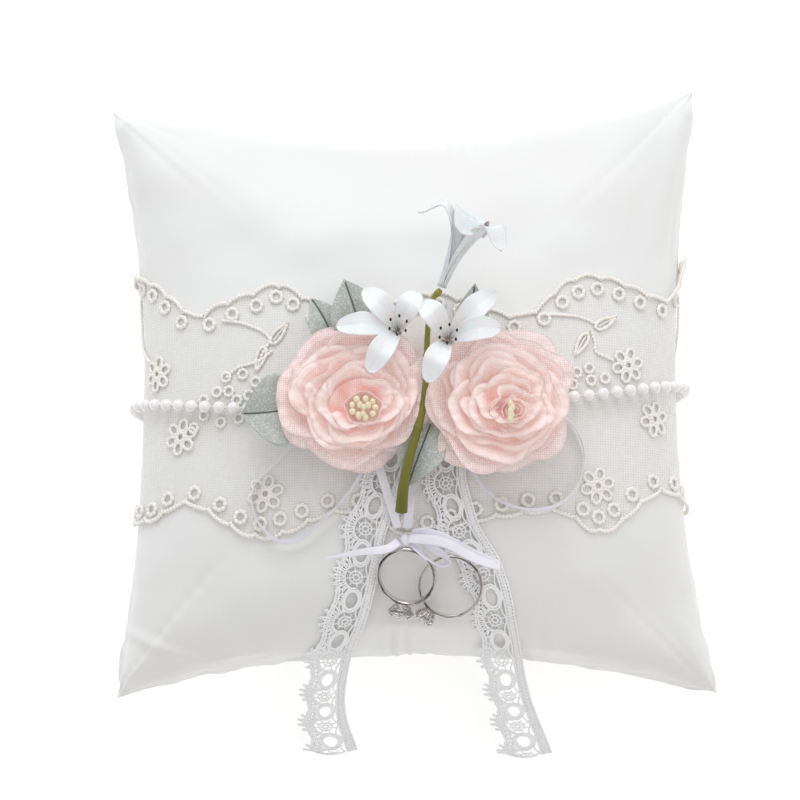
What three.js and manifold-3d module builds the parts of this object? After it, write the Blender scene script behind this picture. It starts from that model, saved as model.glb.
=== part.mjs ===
// Ring bearer pillow: a square satin cushion with an embroidered net band round it, a string of
// pearls, two tails of cluny lace, a spray of cloth roses, lilies and leaves, satin ribbon loops,
// and two wedding rings tied on with a bow. The pillow lies on its back. Millimetres.
// +X is to the right, +Y to the pillow's upper edge, +Z up from the table. The origin is the
// middle of the resting face, on the underside of the net band.
import * as THREE from "three";
import { mergeVertices } from "three/addons/utils/BufferGeometryUtils.js";
import Module from "manifold-3d";

const wasm = await Module();
wasm.setup();

// Pillow
const PILLOW_WIDTH = 200; // X, corner to corner
const PILLOW_DEPTH = 200; // Y, corner to corner
const CROWN_HEIGHT = 68; // table to the top of the casing
const SEAM_HEIGHT = 30; // table to the seam round the sides
const SIDE_PULL_X = 10; // how far the middle of a left or right side pulls in
const SIDE_PULL_Y = 12; // how far the middle of an upper or lower side pulls in
const BACK_SWELL = 40; // depth of the back below the seam, before the table flattens it
const PUFF = 0.45; // roundness: lower is fuller
const CASING_WALL = 0.8;
const PILLOW_CELLS = 12; // facets across each side

// Net band and what lies on it
const NET_THICKNESS = 0.5;
const NET_WIDTH = 84; // Y
const NET_OFFSET_Y = -8; // the band sits a little below the middle
const TAIL_THICKNESS = 0.6;
const TAIL_WIDTH = 15;
const TAIL_ROOT_Y = -22; // where the tails come out from under the felt
const TAIL_SHOULDER = 20; // from the lower corners up to where a lace tail starts to hang
const FOLD_REACH = 14; // length over which a tail turns square to its fold
const BEAD_DIAMETER = 4;
const BEAD_PITCH = 5.9;
const THREAD_DIAMETER = 0.9;
const RIBBON_WIDTH = 3;
const RIBBON_THICKNESS = 1.2;

// Flowers
const FELT_THICKNESS = 1.5;
const FELT_LENGTH = 68; // X
const FELT_WIDTH = 44; // Y
const FELT_CENTRE = [4, -4];
const PETAL_THICKNESS = 0.8;
const ROSE_RADIUS = 22;
const ROSE_HEIGHT = 20;
const ROSES_MIDDLE_X = 4;
const ROSE_CLEARANCE = 5; // between the two roses
const BUD_RADIUS = 2.4; // the rose's waist, which the petals are gathered on
const STEM_TOP_RADIUS = 0.7;
const STEM_END_RADIUS = 2;

// Rings: outer radius, radial wall, width along the finger
const SOLITAIRE = { radius: 10, wall: 1.6, width: 2.6, headHalf: [4.1, 2.7], headHeight: 4.4 };
const CLUSTER = { radius: 10.6, wall: 1.2, width: 1.8, headHalf: [3.3, 3.1], headHeight: 4.4 };
const RING_CROSSING = 6.3; // how far the two rings lie over each other
const KNOT_RADIUS = 1.8;
const KNOT_PLACE = [-1.5, -54.3]; // on the lower front of the pillow
const BED_LENGTH = 24; // the rings lie over this much of the slope below the knot
const RING_REST = 0.6; // between a ring's lowest rim and the lace or net under it

// Clearances
const GAP = 0.3; // between pieces that touch
const HINGE_GAP = 0.5; // between a lace tail and its hanging end, each side of the fold

const LACE_STACK = NET_THICKNESS + GAP; // from the casing to the top of the net
const CASING_BASE = LACE_STACK; // lowest point of the casing
const NET_TO_FELT = BEAD_DIAMETER + 2 * GAP; // the pearls run under the felt
const FELT_TOP = NET_TO_FELT + FELT_THICKNESS; // above the net
const TAIL_HINGE_Y = TAIL_SHOULDER - PILLOW_DEPTH / 2;
const ROSE_REACH_X = ROSE_RADIUS + ROSE_CLEARANCE / 2; // a rose's centre from the middle of the two

const vec = (x, y, z) => new THREE.Vector3(x, y, z);
const radians = THREE.MathUtils.degToRad;
const lerp = THREE.MathUtils.lerp;

// ---- Solids from point lattices ----

// A closed solid from points and triangles: equal points are welded, empty triangles dropped,
// and all faces turned outwards.
function solidFrom(points, triangles) {
  const ids = new Map();
  const corners = [];
  const idOf = points.map((p) => {
    const key = p.toArray().map((c) => Math.round(c * 1000)).join();
    if (!ids.has(key)) ids.set(key, corners.push(p) - 1);
    return ids.get(key);
  });
  const faces = triangles
    .map((t) => t.map((i) => idOf[i]))
    .filter(([a, b, c]) => a !== b && b !== c && c !== a);
  const volume = faces.reduce(
    (sum, [a, b, c]) => sum + corners[a].dot(corners[b].clone().cross(corners[c])), 0);
  if (volume < 0) faces.forEach((f) => f.reverse());
  const geometry = new THREE.BufferGeometry().setFromPoints(corners);
  geometry.setIndex(faces.flat());
  geometry.computeVertexNormals();
  return geometry;
}

const quad = (a, b, c, d) => [[a, b, c], [a, c, d]];

// A solid between two equal grids of points. wrap joins the last row to the first.
function shellSolid(outer, inner, wrap = false) {
  const rows = outer.length;
  const columns = outer[0].length;
  const points = [...outer.flat(), ...inner.flat()];
  const at = (i, j) => (i % rows) * columns + j;
  const under = (i, j) => rows * columns + at(i, j);
  const triangles = [];
  const spans = wrap ? rows : rows - 1;
  for (let i = 0; i < spans; i++) {
    for (let j = 0; j < columns - 1; j++) {
      triangles.push(...quad(at(i, j), at(i + 1, j), at(i + 1, j + 1), at(i, j + 1)));
      triangles.push(...quad(under(i, j), under(i, j + 1), under(i + 1, j + 1), under(i + 1, j)));
    }
    triangles.push(...quad(at(i, 0), under(i, 0), under(i + 1, 0), at(i + 1, 0)));
    const last = columns - 1;
    triangles.push(...quad(at(i, last), at(i + 1, last), under(i + 1, last), under(i, last)));
  }
  if (!wrap) {
    for (let j = 0; j < columns - 1; j++) {
      const end = rows - 1;
      triangles.push(...quad(at(0, j), at(0, j + 1), under(0, j + 1), under(0, j)));
      triangles.push(...quad(at(end, j), under(end, j), under(end, j + 1), at(end, j + 1)));
    }
  }
  return solidFrom(points, triangles);
}

// A round bar along a curve whose radius changes: stations are [share of the curve, radius].
function turnedAlong(curve, stations, sides) {
  const points = [];
  const triangles = [];
  stations.forEach(([share, radius], k) => {
    const centre = curve.getPointAt(share);
    const tangent = curve.getTangentAt(share);
    const across = vec(0, 0, 1).cross(tangent).normalize();
    const upward = tangent.clone().cross(across);
    for (let j = 0; j < sides; j++) {
      const turn = (2 * Math.PI * j) / sides;
      points.push(centre.clone()
        .addScaledVector(across, radius * Math.cos(turn))
        .addScaledVector(upward, radius * Math.sin(turn)));
      const a = k * sides + j;
      const b = k * sides + ((j + 1) % sides);
      if (k > 0) triangles.push(...quad(a - sides, b - sides, b, a));
    }
  });
  const end = (stations.length - 1) * sides;
  for (let j = 1; j < sides - 1; j++) {
    triangles.push([0, j + 1, j]);
    triangles.push([end, end + j, end + j + 1]);
  }
  return solidFrom(points, triangles);
}

// A flat piece whose rows each hold a left, a middle and a right point of its underside.
function strapSolid(rows, thickness) {
  return shellSolid(rows.map((row) => row.map((p) => p.clone().add(vec(0, 0, thickness)))), rows);
}

// One such row: its middle, sideways direction, half width, and how far the middle sinks.
const strapRow = (middle, across, half, dip = 0) => [-1, 0, 1].map((side) =>
  middle.clone().addScaledVector(across, side * half).add(vec(0, 0, side ? 0 : -dip)));

// ---- Joining with booleans ----

function manifoldOf(geometry) {
  const bare = new THREE.BufferGeometry();
  bare.setAttribute("position", geometry.getAttribute("position").clone());
  if (geometry.index) bare.setIndex(geometry.index.clone());
  const merged = mergeVertices(bare, 1e-4);
  return new wasm.Manifold(new wasm.Mesh({
    numProp: 3,
    vertProperties: Float32Array.from(merged.attributes.position.array),
    triVerts: Uint32Array.from(merged.index.array),
  }));
}

function geometryOf(manifold) {
  const { vertProperties, triVerts } = manifold.getMesh();
  const geometry = new THREE.BufferGeometry();
  geometry.setAttribute("position", new THREE.BufferAttribute(Float32Array.from(vertProperties), 3));
  geometry.setIndex(new THREE.BufferAttribute(Uint32Array.from(triVerts), 1));
  geometry.computeVertexNormals();
  return geometry;
}

const joined = (geometries) =>
  geometryOf(geometries.map(manifoldOf).reduce((sum, next) => sum.add(next)));

// ---- The pillow's surface ----

// A point of the casing or of an offset of it: u runs across X and v across Y, each -1 to 1,
// inset is how far inside the casing's outer face it lies, and slit is how far it stays off the
// plane of the seam.
function pillowPoint(u, v, front, inset, slit = 0) {
  const x = u * (PILLOW_WIDTH / 2 - inset - SIDE_PULL_X * (1 - v * v));
  const y = v * (PILLOW_DEPTH / 2 - inset - SIDE_PULL_Y * (1 - u * u));
  const rise = Math.max(0, (1 - u * u) * (1 - v * v)) ** PUFF;
  const z = front
    ? lerp(SEAM_HEIGHT + slit, CROWN_HEIGHT - inset, rise)
    : Math.max(CASING_BASE + inset, SEAM_HEIGHT - slit - (BACK_SWELL - slit - inset) * rise);
  return vec(x, y, z);
}

// v at a given y, where u is known.
const acrossAt = (u, y, inset) => y / (PILLOW_DEPTH / 2 - inset - SIDE_PULL_Y * (1 - u * u));

// Height of the front casing at x, y, and no height at all outside the pillow's outline.
function frontHeight(x, y) {
  let u = 0;
  let v = 0;
  for (let turn = 0; turn < 30; turn++) {
    u = x / (PILLOW_WIDTH / 2 - SIDE_PULL_X * (1 - Math.min(1, v * v)));
    v = acrossAt(THREE.MathUtils.clamp(u, -1, 1), y, 0);
  }
  return Math.max(Math.abs(u), Math.abs(v)) < 1 ? pillowPoint(u, v, true, 0).z : -Infinity;
}

// A point at a height above the top of the net, or above that level past the net's edge.
const onFront = (x, y, height) => vec(x, y, frontHeight(x, y) + LACE_STACK + height);

// Grid lines crowd towards the seam, where the casing is most curved.
const crowded = Array.from({ length: PILLOW_CELLS + 1 },
  (_, i) => Math.sin((Math.PI / 2) * (2 * i / PILLOW_CELLS - 1)));

const pillowGrid = (front, inset, slit = 0) =>
  crowded.map((u) => crowded.map((v) => pillowPoint(u, v, front, inset, slit)));

// The whole pillow as one solid, at an offset from its casing.
const pillowSolid = (inset) => shellSolid(pillowGrid(true, inset), pillowGrid(false, inset));

const casingPanel = (front) =>
  shellSolid(pillowGrid(front, 0, GAP / 2), pillowGrid(front, CASING_WALL, GAP / 2));

// The net goes once round the pillow, over the front and under the back: a skin of the whole
// pillow, cut to the band's width.
function netBand() {
  const cutter = new THREE.BoxGeometry(2 * PILLOW_WIDTH, NET_WIDTH, 4 * CROWN_HEIGHT);
  cutter.translate(0, NET_OFFSET_Y, 0);
  return geometryOf(manifoldOf(pillowSolid(-GAP - NET_THICKNESS))
    .subtract(manifoldOf(pillowSolid(-GAP)))
    .intersect(manifoldOf(cutter)));
}

// ---- Pearls, lace and ribbon ----

// The pearls cross the front in a shallow arc and end at stitches low on each side.
function pearlString() {
  const arc = (x) => -12.5 + 0.00124 * (x + 15) ** 2;
  const radius = BEAD_DIAMETER / 2;
  const inset = -LACE_STACK - GAP - radius;
  const top = crowded.flatMap((u) => {
    const x = pillowPoint(u, 0, true, inset).x;
    return [pillowPoint(u, acrossAt(u, arc(x), inset), true, inset).setY(arc(x))];
  });
  const low = (side) => [0.93, 0.84].map((share) => {
    const u = side * share;
    const x = pillowPoint(u, 0, false, inset).x;
    return pillowPoint(u, acrossAt(u, arc(x), inset), false, inset).setY(arc(x));
  });
  const curve = new THREE.CatmullRomCurve3([...low(-1).reverse(), ...top, ...low(1)]);
  const length = curve.getLength();
  const beads = Math.floor(length / BEAD_PITCH);
  const margin = (length - beads * BEAD_PITCH) / 2;
  const stations = [[0, THREAD_DIAMETER / 2]];
  for (let k = 0; k < beads; k++) {
    const middle = margin + (k + 0.5) * BEAD_PITCH;
    for (const [step, size] of [[-1, 0], [-0.5, 0.9], [0.5, 0.9], [1, 0]]) {
      stations.push([(middle + step * radius) / length, Math.max(size * radius, THREAD_DIAMETER / 2)]);
    }
  }
  stations.push([1, THREAD_DIAMETER / 2]);
  return turnedAlong(curve, stations, 5);
}

// Sideways direction of a flat piece that follows a line over the pillow.
const sideways = (tangent) => vec(tangent.y, -tangent.x, 0).normalize();

// A length of a lace tail between two shares of its line. Where it lies, its edges rest on the
// pillow too, and near the fold its rows turn to run along X.
function tailLength(curve, fold, from, to, cells) {
  return strapSolid(Array.from({ length: cells + 1 }, (_, i) => {
    const share = lerp(from, to, i / cells);
    const square = Math.max(0, 1 - (Math.abs(share - fold) * curve.getLength()) / FOLD_REACH);
    const across = sideways(curve.getTangentAt(share)).lerp(vec(1, 0, 0), square).normalize();
    const row = strapRow(curve.getPointAt(share), across, TAIL_WIDTH / 2);
    row.forEach((p) => { p.z = Math.max(p.z, onFront(p.x, p.y, GAP).z); });
    return row;
  }), TAIL_THICKNESS);
}

// A tail lies on the front from the felt to the shoulder, then hangs to the table. A lying point is
// x and its share of the way to the shoulder. A hanging point is x, how far past the shoulder, and
// its share of the shoulder's height.
function laceTail(name, lying, hanging, colour) {
  const shoulder = lying.length;
  const resting = lying.map(([x, share]) => onFront(x, lerp(TAIL_ROOT_Y, TAIL_HINGE_Y, share), GAP));
  const top = resting[shoulder - 1].z;
  const falling = hanging.map(([x, past, share]) => vec(x, TAIL_HINGE_Y - past, share * top));
  const points = [...resting, ...falling];
  const curve = new THREE.CatmullRomCurve3(points);
  const length = curve.getLength();
  let fold = 0;
  while (curve.getPointAt(fold).y > TAIL_HINGE_Y) fold += 1 / 2000;
  const clear = HINGE_GAP / length;
  return [
    part(name, tailLength(curve, fold, 0, fold - clear, 2 * shoulder), colour),
    part(name + "_end", tailLength(curve, fold, fold + clear, 1, 7), colour),
  ];
}

// Satin ribbon as an extruded oval, so tall and so wide where it crosses the pillow.
function ribbon(points, tall, wide) {
  const section = new THREE.Shape();
  section.absellipse(0, 0, tall / 2, wide / 2, 0, 2 * Math.PI, false, Math.PI / 8);
  const curve = new THREE.CatmullRomCurve3(points);
  return new THREE.ExtrudeGeometry(section, {
    curveSegments: 8,
    steps: Math.max(8, Math.round(curve.getLength() / (2 * RIBBON_WIDTH))),
    extrudePath: curve,
  });
}

// ---- Flowers ----

// The felt follows the crown of the pillow, clear of the pearls that run under it.
function felt() {
  const sectors = 20;
  const place = (share, turn, height) => onFront(
    FELT_CENTRE[0] + (FELT_LENGTH / 2) * share * Math.cos(turn),
    FELT_CENTRE[1] + (FELT_WIDTH / 2) * share * Math.sin(turn), height);
  const grid = (height) => Array.from({ length: sectors }, (_, i) =>
    [0, 0.5, 1].map((share) => place(share, (2 * Math.PI * i) / sectors, height)));
  return shellSolid(grid(FELT_TOP), grid(NET_TO_FELT), true);
}

// Rows of rose petals, each a bowl cut into equal petals: reach and rise as shares of the rose,
// curl of the profile, height where it leaves the waist, number of petals and turn in degrees.
const ROSE_ROWS = [
  { row: "outer", reach: 1, rise: 0.58, curl: 1.6, root: 1.2, petals: 3, turn: 20 },
  { row: "middle", reach: 0.77, rise: 0.85, curl: 1.5, root: 2.9, petals: 3, turn: 80 },
  { row: "inner", reach: 0.5, rise: 1, curl: 1.3, root: 4.6, petals: 2, turn: 10 },
];
const PETAL_SLIT_DEG = 8; // between neighbours in a row

function rosePetal({ reach, rise, curl, root, petals }, index) {
  const foot = BUD_RADIUS + GAP;
  const span = radians(360 / petals - PETAL_SLIT_DEG);
  const start = radians((360 / petals) * index);
  const columns = petals > 2 ? 5 : 7;
  const grid = (lift) => [0, 0.35, 0.7, 1].map((share) => Array.from({ length: columns }, (_, j) => {
    const turn = start + (span * j) / (columns - 1);
    const radius = lerp(foot, reach * ROSE_RADIUS, share);
    return vec(radius * Math.cos(turn), radius * Math.sin(turn),
      lerp(root, rise * ROSE_HEIGHT, share ** curl) + lift);
  }));
  return shellSolid(grid(PETAL_THICKNESS), grid(0));
}

// The tight middle of a rose: a waist that carries the petals and a closed bud above it.
function roseBud() {
  const profile = [[0, 0], [1, 0], [1, 0.27], [1.9, 0.6], [1.6, 0.9], [0.8, 1], [0, 1]];
  return new THREE.LatheGeometry(
    profile.map(([r, z]) => new THREE.Vector2(r * BUD_RADIUS, z * ROSE_HEIGHT)), 10).rotateX(Math.PI / 2);
}

// Stamen pips on short stalks that rise from one small disc on top of the bud.
function roseStamens(count, spread) {
  const disc = new THREE.CylinderGeometry(1.6, 1.6, 0.8, 8).rotateX(Math.PI / 2).translate(0, 0, 0.4);
  const pieces = [disc];
  for (let k = 0; k < count; k++) {
    const turn = k * radians(137.5);
    const lean = spread * Math.sqrt((k + 0.5) / count);
    const tip = vec(lean * Math.cos(turn), lean * Math.sin(turn), 3.6 - 0.12 * lean * lean);
    const foot = vec(0.25 * tip.x, 0.25 * tip.y, 0.3);
    pieces.push(turnedAlong(new THREE.LineCurve3(foot, tip), [[0, 0.25], [1, 0.25]], 4));
    pieces.push(new THREE.OctahedronGeometry(0.9, 0).translate(tip.x, tip.y, tip.z));
  }
  return joined(pieces);
}

function rose(side, centre, tiltDeg, pips, pipSpread, colour) {
  const group = new THREE.Group();
  group.position.copy(onFront(...centre, FELT_TOP + 2 * GAP));
  group.rotation.set(radians(tiltDeg[0]), radians(tiltDeg[1]), 0);
  for (const row of ROSE_ROWS) {
    for (let k = 0; k < row.petals; k++) {
      const petal = part(`rose_${side}_${row.row}_petal_${k + 1}`, rosePetal(row, k), colour);
      petal.rotation.z = radians(row.turn);
      group.add(petal);
    }
  }
  const stamens = part(`rose_${side}_stamens`, roseStamens(pips, pipSpread), COLOURS.cream);
  stamens.position.z = ROSE_HEIGHT + GAP;
  group.add(part(`rose_${side}_bud`, roseBud(), COLOURS.rose), stamens);
  return group;
}

// A pointed leaf or petal from root to tip: widest at the given share of its length, the middle
// dipped like a keel, and the line between bowed upwards.
function leafSolid(root, tip, half, { widest = 0.5, dip = 1, bow = 2 } = {}) {
  const line = new THREE.QuadraticBezierCurve3(
    root, root.clone().lerp(tip, 0.5).add(vec(0, 0, 2 * bow)), tip);
  const power = Math.log(0.5) / Math.log(widest);
  const across = sideways(tip.clone().sub(root));
  return strapSolid([0, 0.15, 0.35, 0.55, 0.75, 0.9, 1].map((share) => {
    const swell = Math.sin(Math.PI * share ** power);
    return strapRow(line.getPointAt(share), across, 0.8 + half * swell, dip * swell);
  }), PETAL_THICKNESS);
}

// A lily: a narrow trumpet that opens into long petals. Each petal is [turn in degrees, length].
function lilyWhorl(height, petals, half) {
  const trumpet = new THREE.LatheGeometry([
    [0, 0], [0.9, 0], [1.1, 0.6 * height], [2.6, height], [1.6, height + 0.4], [0, 0.75 * height],
  ].map(([r, z]) => new THREE.Vector2(r, z)), 10).rotateX(Math.PI / 2);
  const leaves = petals.map(([turn, length]) =>
    leafSolid(vec(1.9, 0, height - 0.9), vec(length, 0, height + 1), half, { widest: 0.45, dip: 1.2, bow: 2.2 })
      .rotateZ(radians(turn)));
  return joined([trumpet, ...leaves]);
}

// Black-tipped stamens of a lily: fine filaments from one small foot inside the trumpet.
function lilyStamens(tips) {
  const foot = new THREE.CylinderGeometry(0.7, 0.7, 0.8, 6).rotateX(Math.PI / 2).translate(0, 0, 0.4);
  const pieces = [foot];
  for (const [x, y, z] of tips) {
    const line = new THREE.LineCurve3(vec(0.1 * x, 0.1 * y, 0.4), vec(x, y, z));
    pieces.push(turnedAlong(line, [[0, 0.2], [0.9, 0.2], [0.94, 0.5], [1, 0.5]], 4));
  }
  return joined(pieces);
}

function lily(name, place, turn, whorl, tips) {
  const group = new THREE.Group();
  group.position.copy(place);
  group.rotation.set(...turn.map(radians));
  const stamens = part(`${name}_stamens`, lilyStamens(tips), COLOURS.stamen);
  stamens.position.z = whorl.height + 1;
  group.add(part(`${name}_petals`, lilyWhorl(whorl.height, whorl.petals, whorl.half), COLOURS.lily), stamens);
  return group;
}

// ---- Rings ----

function ringBand({ radius, wall, width }) {
  const h = width / 2;
  const profile = [
    [radius - wall, -0.8 * h], [radius - 0.3 * wall, -h], [radius, -0.5 * h],
    [radius, 0.5 * h], [radius - 0.3 * wall, h], [radius - wall, 0.8 * h],
  ];
  const closed = [...profile, profile[0]].map(([r, z]) => new THREE.Vector2(r, z));
  return new THREE.LatheGeometry(closed, 28).rotateX(Math.PI / 2);
}

// A head stands on the shank, along +X from its foot: a basket with four claws round the stone.
function ringSetting({ headHalf: [along, across], headHeight }) {
  const basket = new THREE.LatheGeometry([
    [0, 0], [0.45, 0], [1, 0.62], [1, 0.75], [0.82, 0.75], [0, 0.5],
  ].map(([r, z]) => new THREE.Vector2(r, z * headHeight)), 12).rotateX(Math.PI / 2);
  basket.scale(across, along, 1);
  const claws = [45, 135, 225, 315].map((turn) =>
    new THREE.CylinderGeometry(0.35, 0.35, 0.5 * headHeight, 6).rotateX(Math.PI / 2)
      .translate(0.93 * across * Math.cos(radians(turn)), 0.93 * along * Math.sin(radians(turn)),
        0.75 * headHeight));
  return joined([basket, ...claws]);
}

function ringStone({ headHalf: [along, across], headHeight }) {
  const stone = new THREE.LatheGeometry([
    [0, 0], [0.62, 0.2], [0.62, 0.26], [0.4, 0.38], [0, 0.38],
  ].map(([r, z]) => new THREE.Vector2(r, z * headHeight)), 12).rotateX(Math.PI / 2);
  return stone.scale(across, along, 1);
}

// A ring in the plane of its group, its head turned to headDeg.
function ring(name, size, headDeg, metal, gem) {
  const group = new THREE.Group();
  const head = new THREE.Group();
  head.rotation.z = radians(headDeg);
  const stand = new THREE.Group();
  stand.position.x = size.radius + GAP + 0.1 * size.headHalf[0];
  stand.rotation.y = Math.PI / 2;
  const stone = part(`${name}_stone`, ringStone(size), gem);
  stone.position.z = 0.5 * size.headHeight + GAP + 0.3;
  stand.add(part(`${name}_setting`, ringSetting(size), metal), stone);
  head.add(stand);
  group.add(part(`${name}_band`, ringBand(size), metal), head);
  return group;
}

// ---- The assembly ----

const COLOURS = {
  filling: [0xf2f2ee, 1, 0],
  satin: [0xebe8e1, 0.45, 0],
  net: [0xe6dccb, 0.8, 0],
  pearl: [0xefe9df, 0.25, 0],
  lace: [0xf6f4f1, 0.85, 0],
  ribbon: [0xf4f1f6, 0.4, 0],
  felt: [0xf0eee9, 1, 0],
  rose: [0xefb9ac, 0.8, 0],
  cream: [0xf3e6c4, 0.6, 0],
  leaf: [0x909a95, 0.5, 0],
  stem: [0x6b7f2e, 0.6, 0],
  lily: [0xf5f3f0, 0.5, 0],
  stamen: [0x1d1b1a, 0.5, 0],
  silver: [0xc9c9cb, 0.12, 1],
  gem: [0xe8eef2, 0.05, 0],
};

function part(name, geometry, [color, roughness, metalness]) {
  const mesh = new THREE.Mesh(geometry, new THREE.MeshStandardMaterial({ color, roughness, metalness }));
  mesh.name = name;
  return mesh;
}

const pillow = new THREE.Group();
pillow.add(
  part("filling", pillowSolid(CASING_WALL + GAP), COLOURS.filling),
  part("front_panel", casingPanel(true), COLOURS.satin),
  part("back_panel", casingPanel(false), COLOURS.satin),
  part("net_band", netBand(), COLOURS.net),
  part("pearl_string", pearlString(), COLOURS.pearl),
);

pillow.add(...laceTail("lace_tail_left",
  [[-5, 0], [-9.6, 0.236], [-15.1, 0.478], [-17.1, 0.652], [-19.4, 0.829], [-22.4, 1]],
  [[-26, 7.5, 0.859], [-28.5, 17, 0.667], [-29.4, 29.7, 0.283], [-27, 39, 0.008]], COLOURS.lace));
pillow.add(...laceTail("lace_tail_right",
  [[10.6, 0], [10.8, 0.241], [12.6, 0.357], [16.1, 0.538], [22.4, 0.71], [26, 0.888], [27.4, 1]],
  [[29, 7.5, 0.855], [31, 17, 0.661], [35.8, 30.5, 0.265], [39.5, 40, 0.008]], COLOURS.lace));

// Ribbon loops and drops: points as x, y and height above the net. They start and end under the felt.
// All but the left drop stand on edge.
const alongFront = (points) => points.map((p) => onFront(...p));
const onEdge = (points) => ribbon(alongFront(points), RIBBON_WIDTH, RIBBON_THICKNESS);
const RIBBON_LOOP_LEFT = [
  [-25, -17.5, 2.2], [-31, -19.5, 2.4], [-37.8, -22.9, 3], [-44, -29.2, 3], [-49.5, -34.2, 2.6],
  [-51.8, -38.3, 2.3], [-51.2, -44.4, 2.2], [-48.5, -49.6, 2.2], [-43, -54.1, 2.2], [-35.8, -53.6, 2.2],
  [-29.3, -48.6, 2.6], [-21.2, -40.8, 3.4], [-16.5, -34, 3.4], [-15, -27.5, 3],
];
const RIBBON_LOOP_RIGHT = [
  [33, -15.5, 2.2], [42, -13.4, 2.4], [51, -14.3, 2.6], [55.6, -20.6, 2.4], [56.9, -27.7, 2.2],
  [54.8, -35.6, 2.2], [50.2, -41.2, 2.2], [43.7, -43.9, 2.2], [35.8, -43.8, 2.2], [28, -41, 2.4],
  [22.5, -36.3, 3.4], [19.2, -30, 3.4], [17, -23.5, 3],
];
const RIBBON_DROP_LEFT = [
  [-11.5, -21.5, 2.4], [-10.3, -30, 3.2], [-8, -38, 4], [-5.6, -45.5, 4.4], [-4.2, -50.6, 4],
];
const RIBBON_DROP_RIGHT = [
  [3, -21.5, 2.4], [1.6, -30, 3.2], [0.4, -38, 4], [-0.5, -45.5, 4.4], [-1.2, -50.6, 4],
];
pillow.add(
  part("ribbon_loop_left", onEdge(RIBBON_LOOP_LEFT), COLOURS.ribbon),
  part("ribbon_loop_right", onEdge(RIBBON_LOOP_RIGHT), COLOURS.ribbon),
  part("ribbon_drop_left",
    ribbon(alongFront(RIBBON_DROP_LEFT), RIBBON_THICKNESS, RIBBON_WIDTH), COLOURS.ribbon),
  part("ribbon_drop_right", onEdge(RIBBON_DROP_RIGHT), COLOURS.ribbon),
);

// The spray of flowers on its felt.
pillow.add(part("flower_felt", felt(), COLOURS.felt));
pillow.add(rose("left", [ROSES_MIDDLE_X - ROSE_REACH_X, -10], [8, 4], 9, 4.6, COLOURS.rose));
pillow.add(rose("right", [ROSES_MIDDLE_X + ROSE_REACH_X, -12], [4, 10], 6, 3.6, COLOURS.rose));

// Leaves: root x, y, then tip x, y with its height above the net, and half width.
const LEAF_LIFT = FELT_TOP + 1.1; // under the outer petals of the roses
const LEAVES = {
  leaf_upper_left: [[-15, 8], [-21.6, 29, 14], 8.5],
  leaf_far_left: [[-24, 7], [-32.5, 24, 9], 6],
  leaf_left: [[-35, -11.5], [-55, -14, 11], 12],
  leaf_bottom: [[6.5, -18], [-1, -38, 7.5], 8],
  leaf_upper_right: [[21, 4], [21, 28, 12], 6],
};
for (const [name, [root, tip, half]] of Object.entries(LEAVES)) {
  pillow.add(part(name, leafSolid(onFront(...root, LEAF_LIFT), onFront(...tip), half), COLOURS.leaf));
}

// The lily stem runs down between the roses: x, y and height above the net.
const STEM = [
  [9.6, 23.5, 22], [6.9, 20, 20], [5.4, 9.3, 17], [5.2, 0, 14], [4.3, -11, 11.5],
  [2.4, -20, 12], [-0.2, -29, 12.2], [-2.2, -38, 11.5], [-3, -46, 9],
];
const stemCurve = new THREE.CatmullRomCurve3(alongFront(STEM));
const stemStations = Array.from({ length: 15 }, (_, i) =>
  [i / 14, lerp(STEM_TOP_RADIUS, STEM_END_RADIUS, THREE.MathUtils.smoothstep(i / 14, 0.35, 0.8))]);
pillow.add(part("lily_stem", turnedAlong(stemCurve, stemStations, 8), COLOURS.stem));

const LILY_FOOT = FELT_TOP + GAP;
pillow.add(
  lily("lily_left", onFront(-4, 12, LILY_FOOT), [0, 0, 0],
    { height: 21, petals: [[132, 16], [180, 19], [238, 17], [60, 12]], half: 4.6 },
    [[-4, 3, 4], [-5, 0, 3.5], [0, 4, 4.5], [-2, -3, 4], [2, 1.5, 5]]),
  lily("lily_right", onFront(12, 8.5, LILY_FOOT), [0, 0, 0],
    { height: 25, petals: [[43, 20], [8, 16], [246, 16], [128, 14]], half: 4.6 },
    [[0, 5, 4.5], [-2.5, 2, 5], [3.5, 2, 4], [1, -3, 4]]),
  lily("lily_top", stemCurve.getPointAt(0).add(vec(0.3, 0.8, 0.2)), [-68, 22, 0],
    { height: 9, petals: [[95, 15], [30, 14], [-15, 14], [150, 13], [225, 11]], half: 4.4 },
    [[2, 1, 6], [-2, 1, 6], [0, -2, 5], [1, 3, 6]]),
);

// The rings lie on the lower front, on a bed tilted as the pillow slopes there, hung from the bow's knot.
const bed = new THREE.Group();
const bedSide = KNOT_PLACE[0] + BED_LENGTH / 4;
const bedFall = frontHeight(bedSide, KNOT_PLACE[1]) - frontHeight(bedSide, KNOT_PLACE[1] - BED_LENGTH);
const bedTilt = Math.atan2(bedFall, BED_LENGTH);
bed.position.copy(onFront(...KNOT_PLACE, 0));
bed.rotation.x = bedTilt;

const solitaire = ring("ring_1", SOLITAIRE, -99, COLOURS.silver, COLOURS.gem);
solitaire.position.set(0.3, -(SOLITAIRE.radius + KNOT_RADIUS + GAP), 1.3);
solitaire.rotation.y = radians(-11);
const cluster = ring("ring_2", CLUSTER, -129, COLOURS.silver, COLOURS.gem);
cluster.position.set(
  solitaire.position.x + SOLITAIRE.radius + CLUSTER.radius - RING_CROSSING, solitaire.position.y - 4.1, -0.3);
cluster.rotation.x = radians(-4);

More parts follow.
